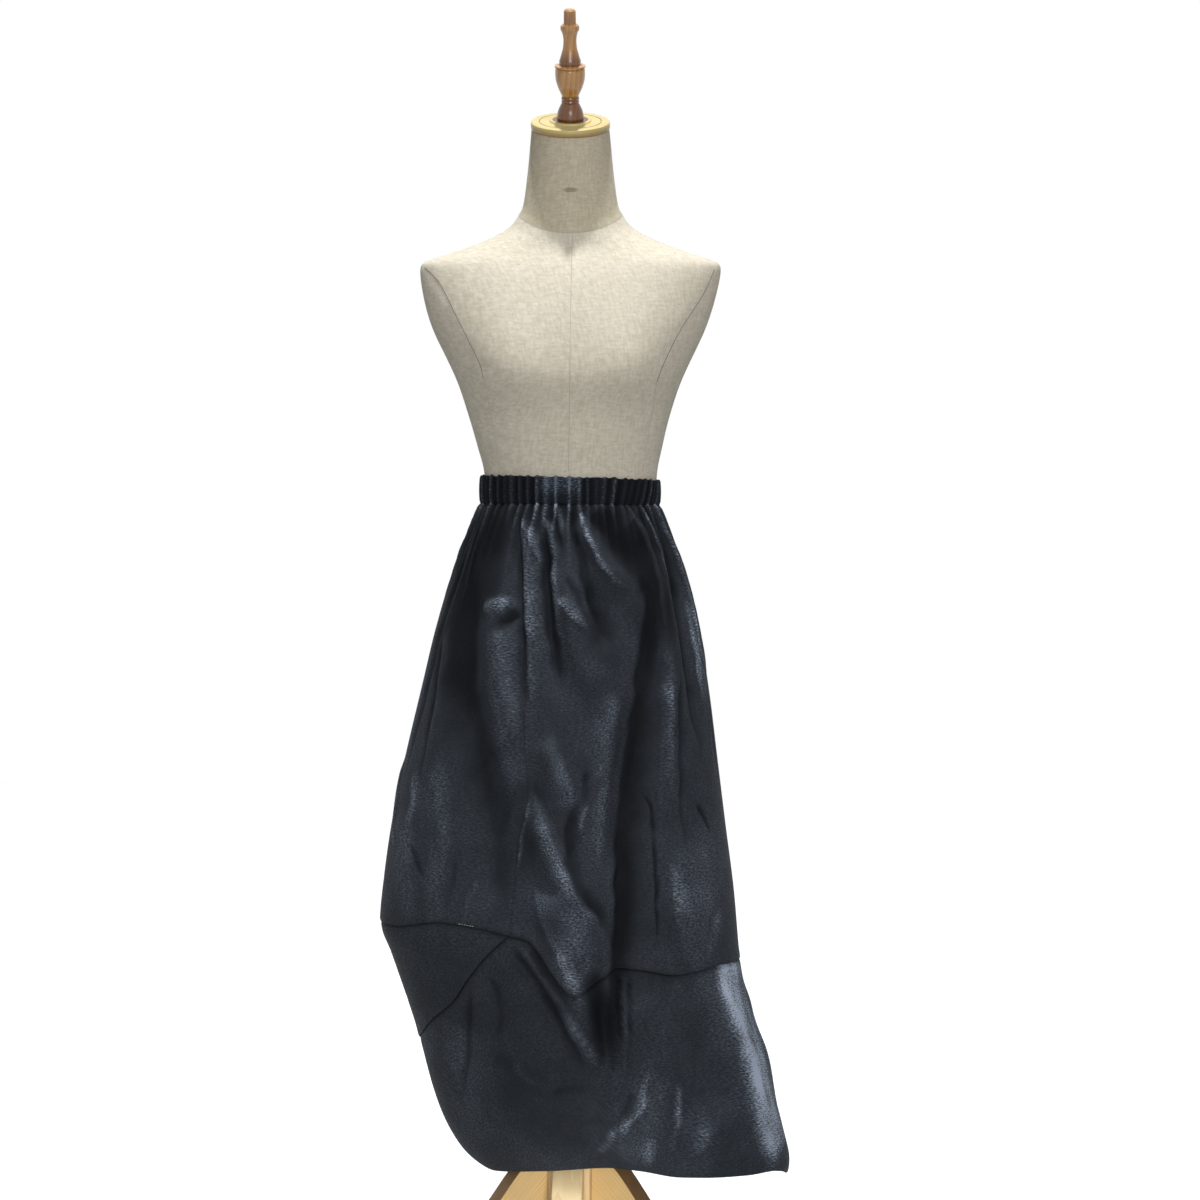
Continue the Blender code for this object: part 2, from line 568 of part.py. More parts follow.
def build_waistband():
    """The elastic casing: a closed ring of cloth in shallow gathers, just clear of the form."""
    around = np.linspace(-math.pi, math.pi, BAND_COLUMNS, endpoint=False)
    foot = skirt_point(around, np.zeros(BAND_COLUMNS))
    foot[:, 2] += SEAM_GAP
    outward = np.stack([np.sin(around), -np.cos(around), np.zeros(BAND_COLUMNS)], axis=-1)
    per_gather = BAND_COLUMNS // BAND_GATHERS
    proud = np.arange(BAND_COLUMNS) % per_gather < per_gather // 2
    wave = np.where(proud, BAND_GATHER_DEPTH, -BAND_GATHER_DEPTH)
    top = foot.copy()
    middle = 0.5 * (BAND_TOP_LEFT + BAND_TOP_RIGHT)
    top[:, 2] = middle + 0.5 * (BAND_TOP_RIGHT - BAND_TOP_LEFT) * np.sin(around)
    loops = []
    for level, depth in ((foot, 0.0), (top, 0.0), (top, CLOTH_WALL), (foot, CLOTH_WALL)):
        loops.append(level + (wave - depth)[:, None] * outward)
    faces = []
    for loop in range(4):
        below = loop * BAND_COLUMNS
        above = (loop + 1) % 4 * BAND_COLUMNS
        for column in range(BAND_COLUMNS):
            after = (column + 1) % BAND_COLUMNS
            faces.append((below + column, below + after, above + after, above + column))
    add_object("skirt_waistband", mesh_from("skirt_waistband", np.concatenate(loops), faces), "black_cloth")


def lofted(name, loops, material_name):
    """A solid through closed loops of the same number of points, closed by a fan at each end."""
    count = len(loops[0])
    points = np.concatenate(list(loops) + [[np.mean(loops[0], axis=0)], [np.mean(loops[-1], axis=0)]])
    faces = []
    for level in range(len(loops) - 1):
        for column in range(count):
            a = level * count + column
            b = level * count + (column + 1) % count
            faces.append((a, b, b + count, a + count))
    foot_centre = len(points) - 2
    top = (len(loops) - 1) * count
    for column in range(count):
        after = (column + 1) % count
        faces.append((foot_centre, after, column))
        faces.append((foot_centre + 1, top + column, top + after))
    return add_object(name, mesh_from(name, points, faces), material_name)


def form_loop(row, around):
    """One ring of the form, from its row of a table of sections."""
    middle_x, half_width, side_z, front_y, front_z, back_y, back_z = row
    left_x, right_x = middle_x - half_width, middle_x + half_width
    measures = np.array([left_x, side_z, right_x, side_z, front_y, front_z, back_y, back_z])
    return ring_point(np.broadcast_to(measures, (len(around), 8)), around)


def bust(points):
    """The form's chest lifted into two soft mounds."""
    across, up, down = BUST_SPREAD
    centre_x, centre_z = BUST_CENTRE
    drop = points[:, 2] - centre_z
    tall = np.where(drop > 0.0, up, down)
    rise = np.zeros(len(points))
    for side in (-1.0, 1.0):
        rise += np.exp(-(((points[:, 0] - side * centre_x) / across) ** 2) - (drop / tall) ** 2)
    lifted = points.copy()
    lifted[:, 1] -= BUST_RISE * rise * (points[:, 1] < 0.0)
    return lifted


def build_form():
    around = np.linspace(-math.pi, math.pi, FORM_COLUMNS, endpoint=False)
    rows = [row[1:] for row in TORSO_RINGS]
    steps = np.linspace(0.0, len(rows) - 1.0, TORSO_LOOPS)
    torso = [bust(form_loop(row, around)) for row in along_rows(rows, steps)]
    lofted("form_torso", torso, "linen")
    plate_top = torso[0] * np.array([PLATE_INSET, PLATE_INSET, 1.0]) - np.array([0.0, 0.0, PIECE_GAP])
    plate_foot = plate_top - np.array([0.0, 0.0, PLATE_THICKNESS])
    lofted("form_base_plate", [plate_foot, plate_top], "pale_wood")
    neck_rows = [row[1:] for row in NECK_RINGS]
    neck = [form_loop(row, around) for row in along_rows(neck_rows, np.linspace(0.0, 3.0, 5))]
    neck.append(tilted_circle(NECK_TOP_RADIUS, -PIECE_GAP, around))
    lofted("form_neck", neck, "linen")


def tilted_circle(radius, height, around):
    """A circle round the neck cap's axis, at a height along it from the underside of the cap."""
    across = np.array([1.0, 0.0, 0.0])
    forward = np.array([0.0, -math.cos(NECK_TILT), -math.sin(NECK_TILT)])
    axis = np.array([0.0, -math.sin(NECK_TILT), math.cos(NECK_TILT)])
    centre = np.array(NECK_TOP_CENTRE) + height * axis
    return centre + radius * (np.sin(around)[:, None] * across + np.cos(around)[:, None] * forward)


def turned(name, profile, material_name, lift):
    """A piece turned on the neck cap's axis from its profile of radii and heights, spun in flat strips."""
    shape = bmesh.new()
    outline = [(0.0, profile[0][1])] + list(profile) + [(0.0, profile[-1][1])]
    points = [shape.verts.new((radius, 0.0, height)) for radius, height in outline]
    edges = [shape.edges.new(pair) for pair in zip(points, points[1:])]
    bmesh.ops.spin(
        shape,
        geom=points + edges,
        cent=(0.0, 0.0, 0.0),
        axis=(0.0, 0.0, 1.0),
        angle=2.0 * math.pi,
        steps=TURNED_SIDES,
        use_merge=True,
    )
    bmesh.ops.remove_doubles(shape, verts=shape.verts, dist=1e-6)
    bmesh.ops.recalc_face_normals(shape, faces=shape.faces)
    shape.transform(Matrix.Translation((0.0, 0.0, lift)))
    shape.transform(Matrix.Translation(NECK_TOP_CENTRE) @ Matrix.Rotation(NECK_TILT, 4, "X"))
    mesh = bpy.data.meshes.new(name)
    shape.to_mesh(mesh)
    shape.free()
    return add_object(name, mesh, material_name)


def prism(name, outline, foot, top, material_name):
    """An upright prism over a flat outline."""
    count = len(outline)
    points = [(x, y, foot) for x, y in outline] + [(x, y, top) for x, y in outline]
    faces = [tuple(range(count))[::-1], tuple(range(count, 2 * count))]
    for one in range(count):
        two = (one + 1) % count
        faces.append((one, two, count + two, count + one))
    return add_object(name, mesh_from(name, points, faces), material_name)


def regular_outline(corners, radius, turn=0.0):
    angles = [turn + 2.0 * math.pi * corner / corners for corner in range(corners)]
    return [(radius * math.cos(angle), radius * math.sin(angle)) for angle in angles]


def build_leg(number):
    """One sawn board of the stand, standing on its flat foot and heel."""
    samples = np.linspace(0.0, len(LEG_TOP) - 1.0, 2 * len(LEG_TOP) - 1)
    outline = [tuple(point) for point in along_rows(LEG_TOP, samples)] + list(LEG_UNDERSIDE)
    half = 0.5 * LEG_THICKNESS
    points = [(reach, -half, height) for reach, height in outline]
    points += [(reach, half, height) for reach, height in outline]
    count = len(outline)
    faces = [tuple(range(count)), tuple(range(count, 2 * count))[::-1]]
    for one in range(count):
        two = (one + 1) % count
        faces.append((one, count + one, count + two, two))
    mesh = mesh_from(f"stand_leg_{number}", points, faces)
    turn = STAND_TURN - 0.5 * math.pi + 2.0 * math.pi * (number - 1) / LEG_COUNT
    mesh.transform(Matrix.Rotation(turn, 4, "Z"))
    add_object(f"stand_leg_{number}", mesh, "stand_wood")


def build_stand():
    corner_radius = HUB_APOTHEM / math.cos(math.pi / LEG_COUNT)
    hub_turn = STAND_TURN - 0.5 * math.pi + math.pi / LEG_COUNT
    prism("stand_hub", regular_outline(LEG_COUNT, corner_radius, hub_turn), 0.0, HUB_HEIGHT, "stand_wood")
    for number in range(1, LEG_COUNT + 1):
        build_leg(number)
    collar_top = TORSO_RINGS[0][3] - PLATE_THICKNESS - 2.0 * PIECE_GAP
    collar_foot = collar_top - COLLAR_HEIGHT
    prism("stand_collar", regular_outline(ROUND_SIDES, COLLAR_RADIUS), collar_foot, collar_top, "steel")
    pole_foot = HUB_HEIGHT + PIECE_GAP
    pole_top = collar_foot - PIECE_GAP
    prism("stand_pole", regular_outline(ROUND_SIDES, POLE_RADIUS), pole_foot, pole_top, "pale_wood")


def main():
    clear_scene()
    at_yoke = build_upper_panels()
    build_gusset(at_yoke[0])
    build_lower_panel(at_yoke)
    build_waistband()
    build_form()
    turned("form_neck_cap", CAP_PROFILE, "pale_wood", 0.0)
    turned("form_finial", FINIAL_PROFILE, "turned_wood", CAP_PROFILE[-1][1] + PIECE_GAP)
    build_stand()


main()
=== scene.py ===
"""Looks of a maxi skirt worn by a linen-covered dress form on a five-legged wooden stand.

+Z up, the front of the skirt faces -Y, and sizes are in metres. The tables of rings, folds and creases and
the finial's profile are in millimetres.

The skirt's surface is one smooth run of rings from the waist to the turned-under hem, lifted and sunk by
folds, and its pieces are thin closed walls of cloth on that surface.
"""

import math

import bmesh
import bpy
import numpy as np
from mathutils import Matrix, Vector
from mathutils.bvhtree import BVHTree


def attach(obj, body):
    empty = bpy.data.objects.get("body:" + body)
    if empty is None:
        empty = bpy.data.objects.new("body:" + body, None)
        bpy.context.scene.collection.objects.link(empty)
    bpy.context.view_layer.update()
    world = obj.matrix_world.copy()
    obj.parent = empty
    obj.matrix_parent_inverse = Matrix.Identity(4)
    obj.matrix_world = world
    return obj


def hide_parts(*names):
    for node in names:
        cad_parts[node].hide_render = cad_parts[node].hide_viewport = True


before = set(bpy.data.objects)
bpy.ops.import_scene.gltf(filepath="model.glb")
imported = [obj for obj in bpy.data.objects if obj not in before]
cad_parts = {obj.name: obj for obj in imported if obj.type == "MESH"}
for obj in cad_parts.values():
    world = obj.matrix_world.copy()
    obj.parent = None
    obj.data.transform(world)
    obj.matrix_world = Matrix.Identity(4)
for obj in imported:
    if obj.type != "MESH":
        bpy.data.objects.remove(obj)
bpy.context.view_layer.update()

# Cloth: its wall, the gap at a seam, and the numbers of the rings at the yoke seam and at the hem
CLOTH_WALL = 0.0011
SEAM_GAP = 0.0004
YOKE_RING = 8
HEM_RING = 15
HEM_LIFT_FROM_RING = 12

# How folds end: the shares of a path over which they fade in and out, how steeply they fall away from it, and
# how many widths away from it they are still reckoned
FOLD_FADES = (0.28, 0.28)
CREASE_FADES = (0.16, 0.42)
SHEEN_FADES = (0.02, 0.14)
FOLD_POWER = 2.0
CREASE_POWER = 2.7
CREASE_TAPER = 0.4
FOLD_REACH = 2.6
# How crisply the painted light and shade of a crease end: on its narrower side, on even sides, on its wider
# side
PAINTED_SHADING_CRISP, PAINTED_SHADING_EVEN, PAINTED_SHADING_SOFT = 3.6, 2.6, 2.0

# Finding places on the skirt: points along each path, the ring from which their search starts, its rounds,
# and the number of heights that are looked up at each angle
PATH_SAMPLES = 14
FIRST_GUESS_RING = 6.0
PATH_ROUNDS = 4
SEAM_ROUNDS = 6
HEIGHT_SAMPLES = 301

# Slow waves that bend the creases off their paths, and that make their painted light patchy
WANDER = 0.0016
WANDER_SEEDS = (21, 22, 23)
WANDER_WAVES = (0.03, 0.11)
PATCH_SEED = 24
PATCH_COUNT = 18
PATCH_WAVES = (0.018, 0.09)
PATCH_DEPTH = 0.28
PATCH_RANGE = (0.4, 1.6)
PATCH_STRETCH = (1.5, 1.5, 0.6)

# Seams and edges of the cloth
SEAM_DIP = 0.0012
SEAM_DIP_WIDTH = 0.0028
SEAM_TUCK = 0.0015
SIDE_TUCK_SHARE = 0.6
WAIST_TUCK = 0.0045
EDGE_STEPS = (0.0009, 0.002, 0.0034)
EDGE_CLEAR = 1.6
LEAST_STEPS = 8
LIP_SHARE, LIP_RUN = 0.5, 0.014
UNDER_LIP_SHARE, UNDER_LIP_RUN = 0.7, 0.01
LIP_SHADE, LIP_SHADE_RUN = 0.5, 0.004

# Stitches
STITCH_PITCH = 0.0034
STITCH_LENGTH = 0.0023
STITCH_RADIUS = 0.00024
STITCH_PROUD = 0.0001
THREAD_SIDES = 6
SHOWN_STITCHES = (-0.146, -0.126)
SHOWN_STITCH_PROUD = 0.0003

# Uneven ridges at a seam: count, seed, and ranges of half width (a share of their spacing), length and rise.
# RIDGE_REACH is how many half widths and lengths away they are still reckoned.
GATHER_SEED = 11
RIDGE_POWER = 1.5
RIDGE_REACH = (3.0, 2.4)
GATHER_RIDGES = (60, GATHER_SEED, (0.16, 0.34), (0.018, 0.12), (0.002, 0.0062))
PUCKER_RIDGES = (110, 5, (0.18, 0.4), (0.006, 0.02), (0.0002, 0.0008))

# Cloth under the waistband: how far it sinks between gathers, the painted highlight on them and painted shade
# between them, and a painted glint in front
GATHER_SINK, GATHER_SINK_RUN = 0.0012, 0.03
GATHER_SHADING, GATHER_EVEN, GATHER_SHADING_RUN = 430.0, 0.002, 0.05
GLINT_HIGHLIGHT, GLINT_X, GLINT_WIDTH, GLINT_RUN = 620.0, -0.019, 0.026, 0.03

# Rough size and pitch of each piece's grid, and the shares of the last ring that the hem turns under
UPPER_LENGTH = 0.62
GUSSET_GRID = (0.45, 0.14)
GUSSET_PITCH = 0.0032
GUSSET_LEAST_RINGS = 0.02
LOWER_GRID = (1.28, 0.34)
LOWER_PITCH = 0.0036
HEM_TURN = (0.2, 0.45, 0.7, 1.0)

# Waistband
BAND_TOP_LEFT = 1.121
BAND_TOP_RIGHT = 1.115
BAND_COLUMNS = 900
BAND_RISE = 0.0038
BAND_THICKNESS = 0.003
BAND_RUFFLE = 0.0022
BAND_WALL = 0.0008
BAND_DEPTH = 0.04
BAND_PEAK_POWER = 0.8
BAND_TOP_SHARE = 0.95
BAND_LEAN, BAND_LEAN_FROM, BAND_LEAN_OVER = 0.1, 0.25, 0.6
BAND_UNEVEN = 0.0008
BAND_UNEVEN_PLACES = 151
BAND_SINK = 0.0014
BAND_PUFF = 0.001
BAND_FOOT_SINK, BAND_FOOT_RUN = 0.0008, 0.06
# Painted highlights on the band's gathers and painted shade between them, about an even level, and a painted
# highlight along its top fold
BAND_SHADING, BAND_EVEN, BAND_TOP_HIGHLIGHT = 600.0, 0.0018, 0.3
# Where seams press the band's gathers: share of the height, reach, and strength.
BAND_PRESSED = ((0.0, 0.1, 0.45), (1.0, 0.08, 0.25))
# The band's section from its foot over the fold and down inside: share of the height, and depth.
BAND_SECTION = (
    [(share, 0.0) for share in np.linspace(0.0, 0.93, 15)]
    + [(0.965, 0.0003), (0.99, 0.0009), (1.0, 0.0016), (0.99, 0.0024), (0.965, 0.003)]
    + [(share, BAND_THICKNESS) for share in np.linspace(0.9, 0.0, 8)]
)

# One ring of the skirt at each height: its left and right ends, and its front and back points. Columns:
# ring, left_x, left_z, right_x, right_z, front_y, front_z, back_y, back_z.
RINGS = (
    ("waist seam", -122.5, 1081, 121.5, 1079, -94.5, 1080.5, 91.5, 1080.5),
    ("gathers", -140, 1040, 137.5, 1040, -112, 1040, 108, 1040),
    ("upper hip", -160.5, 984, 159, 980, -127, 980, 124, 980),
    ("hip", -184, 915, 176.5, 908, -138, 908, 138, 908),
    ("thigh", -205, 830, 190, 825, -147, 825, 149, 825),
    ("mid thigh", -227, 738, 202, 728, -155, 735, 156, 735),
    ("knee", -244.5, 655, 213, 640, -161, 650, 160, 650),
    ("above yoke", -256.5, 575, 224, 555, -165, 570, 161, 570),
    ("yoke", -261.5, 510, 232.5, 460, -166, 498, 160, 488),
    ("below yoke", -246.5, 466, 240.5, 416, -163, 450, 157, 442),
    ("calf", -224, 400, 252, 370, -158, 396, 153, 390),
    ("gusset tip", -208.5, 350, 268, 327, -151, 346, 147, 340),
    ("shin", -190, 280, 281, 270, -143, 288, 139, 278),
    ("ankle", -171, 230, 293.5, 220, -133, 242, 130, 224),
    ("hem roll", -145, 190, 301.5, 183, -126, 214, 124, 188),
    ("hem", -113, 166, 298.5, 159, -119, 197, 116, 166),
    ("turned under", -101, 172, 287.5, 165, -108, 203, 105, 172),
)

# How far the hem lifts above its ring: degrees from the centre front, positive to the right, and rise.
HEM_LIFT = (
    (-180, 0.0), (-35, 0.0), (-12, 0.003), (0, -0.001), (15, -0.008),
    (25, -0.007), (44, -0.001), (65, 0.007), (78, 0.005), (92, 0.0), (180, 0.0),
)

# Seams that run down the front: height, and the place across the front.
LEFT_FRONT_SEAM = (
    (1.081, -0.068), (0.963, -0.065), (0.838, -0.063), (0.748, -0.058),
    (0.695, -0.055), (0.65, -0.065), (0.605, -0.071), (0.52, -0.078),
)
RIGHT_FRONT_SEAM = (
    (1.081, 0.096), (1.018, 0.111), (0.942, 0.121), (0.858, 0.122),
    (0.719, 0.119), (0.612, 0.116), (0.47, 0.115),
)

# Seams that run round: degrees from the centre front, and height.
YOKE_SEAM = (
    (-180, 0.488), (-120, 0.5), (-90, 0.51), (-62, 0.516), (-38, 0.53), (-27, 0.527),
    (-15, 0.518), (-9, 0.512), (-5, 0.487), (-2, 0.453), (1, 0.44), (5, 0.445), (13, 0.464),
    (18, 0.474), (25, 0.471), (39, 0.46), (60, 0.464), (90, 0.459), (130, 0.463), (180, 0.488),
)
GUSSET_SEAM = (
    (-167, 0.486), (-150, 0.456), (-130, 0.404), (-112, 0.362), (-95, 0.346),
    (-75, 0.362), (-60, 0.388), (-44, 0.42), (-32, 0.46), (-15, 0.518),
)

# How far the upper cloth hangs over the yoke seam: degrees from the centre front, and depth.
YOKE_LIP = (
    (-180, 0.0008), (-60, 0.001), (-25, 0.0016), (-12, 0.003), (-4, 0.006), (4, 0.006),
    (12, 0.0034), (22, 0.0016), (60, 0.001), (180, 0.0008),
)

# Large folds. A fold follows its path of places and heights on one side of the skirt, seen from that side's
# outside: x on the front and back, y on the left and right. It rises by "rise" along the path and dies away
# over the two widths, left and right of it as seen from outside. Columns:
# fold, side, left_width, right_width, rise, path.
FOLDS = (
    ("left hollow", "front", 28, 24, -12, ((-120, 1010), (-138, 900), (-143, 820), (-118, 740))),
    ("left lit bulge", "front", 18, 16, 8, ((-98, 950), (-91, 890), (-84, 820), (-74, 750))),
    ("left seam groove", "front", 13, 12, -6, ((-68, 1060), (-65, 960), (-63, 840), (-62, 780))),
    ("centre groove", "front", 13, 14, -11, ((-39, 1060), (-30, 970), (-22, 890), (-4, 810))),
    ("centre bulge", "front", 15, 26, 7, ((-20, 1010), (-4, 940), (18, 870), (40, 800))),
    ("right slanting ridge", "front", 15, 18, 7, ((13, 1070), (38, 1010), (78, 970), (100, 900))),
    ("right short hollow", "front", 13, 12, -9, ((22, 980), (40, 930), (49, 880))),
    ("right seam ridge", "front", 13, 15, 6, ((97, 1050), (124, 960), (138, 860), (143, 760))),
    ("right side hollow", "front", 12, 14, -8, ((126, 1040), (147, 950), (162, 860), (172, 750))),
    ("long right hollow", "front", 16, 22, -15, ((92, 840), (72, 750), (66, 640), (62, 560))),
    ("left middle hollow", "front", 22, 24, -11, ((-86, 730), (-102, 660), (-110, 600), (-106, 540))),
    ("upper slanting bulge", "front", 17, 14, 7, ((-36, 780), (-14, 720), (4, 690))),
    ("lower slanting bulge", "front", 18, 14, 8, ((-45, 690), (-26, 640), (0, 590), (28, 550))),
    ("drape point", "front", 27, 26, 15, ((-20, 590), (-4, 530), (11, 460))),
    ("right low bulge", "front", 26, 26, 7, ((144, 660), (147, 570), (150, 500))),
    ("slanting hollow", "front", 15, 13, -9, ((-66, 490), (-36, 440), (0, 380), (22, 330))),
    ("slanting ridge", "front", 14, 14, 10, ((-14, 430), (16, 380), (44, 330))),
    ("deep hollow", "front", 15, 13, -16, ((46, 450), (49, 380), (53, 320))),
    ("lower front edge", "front", 13, 30, 9, ((75, 470), (72, 370), (60, 300), (40, 230))),
    ("right flare ridge", "front", 24, 26, 9, ((194, 450), (220, 370), (250, 270), (276, 200))),
    ("right flare hollow", "front", 26, 22, -8, ((160, 420), (186, 340), (212, 250))),
    ("gusset crease", "front", 15, 14, -6, ((-105, 470), (-95, 420), (-103, 360))),
    ("lower left hollow", "front", 15, 16, -6, ((-132, 450), (-140, 370), (-147, 270))),
    ("left front ridge", "left", 20, 16, 7, ((-75, 930), (-92, 820), (-96, 700))),
    ("left side hollow", "left", 20, 20, -11, ((36, 990), (40, 820), (38, 640))),
    ("left back ridge", "left", 18, 22, 8, ((76, 1000), (92, 820), (94, 660))),
    ("right back ridge", "right", 18, 20, 8, ((40, 1000), (52, 840), (60, 660))),
    ("right back hollow", "right", 18, 22, -10, ((85, 960), (98, 780), (104, 580))),
    ("right hem wave", "right", 24, 26, -9, ((34, 420), (40, 320), (44, 220))),
    ("back left hollow", "back", 20, 24, -12, ((-94, 1020), (-116, 860), (-126, 660), (-118, 540))),
    ("back left ridge", "back", 16, 18, 8, ((-52, 1030), (-64, 880), (-72, 720))),
    ("back centre hollow", "back", 18, 20, -11, ((-12, 1030), (-22, 860), (-30, 680))),
    ("back right ridge", "back", 20, 22, 10, ((34, 1030), (42, 840), (56, 640), (52, 530))),
    ("back right hollow", "back", 18, 22, -12, ((82, 1020), (100, 840), (116, 640))),
    ("back low ridge", "back", 22, 22, 9, ((-60, 450), (-20, 350), (50, 260))),
    ("back low hollow", "back", 20, 22, -9, ((-10, 440), (50, 350), (130, 270))),
)
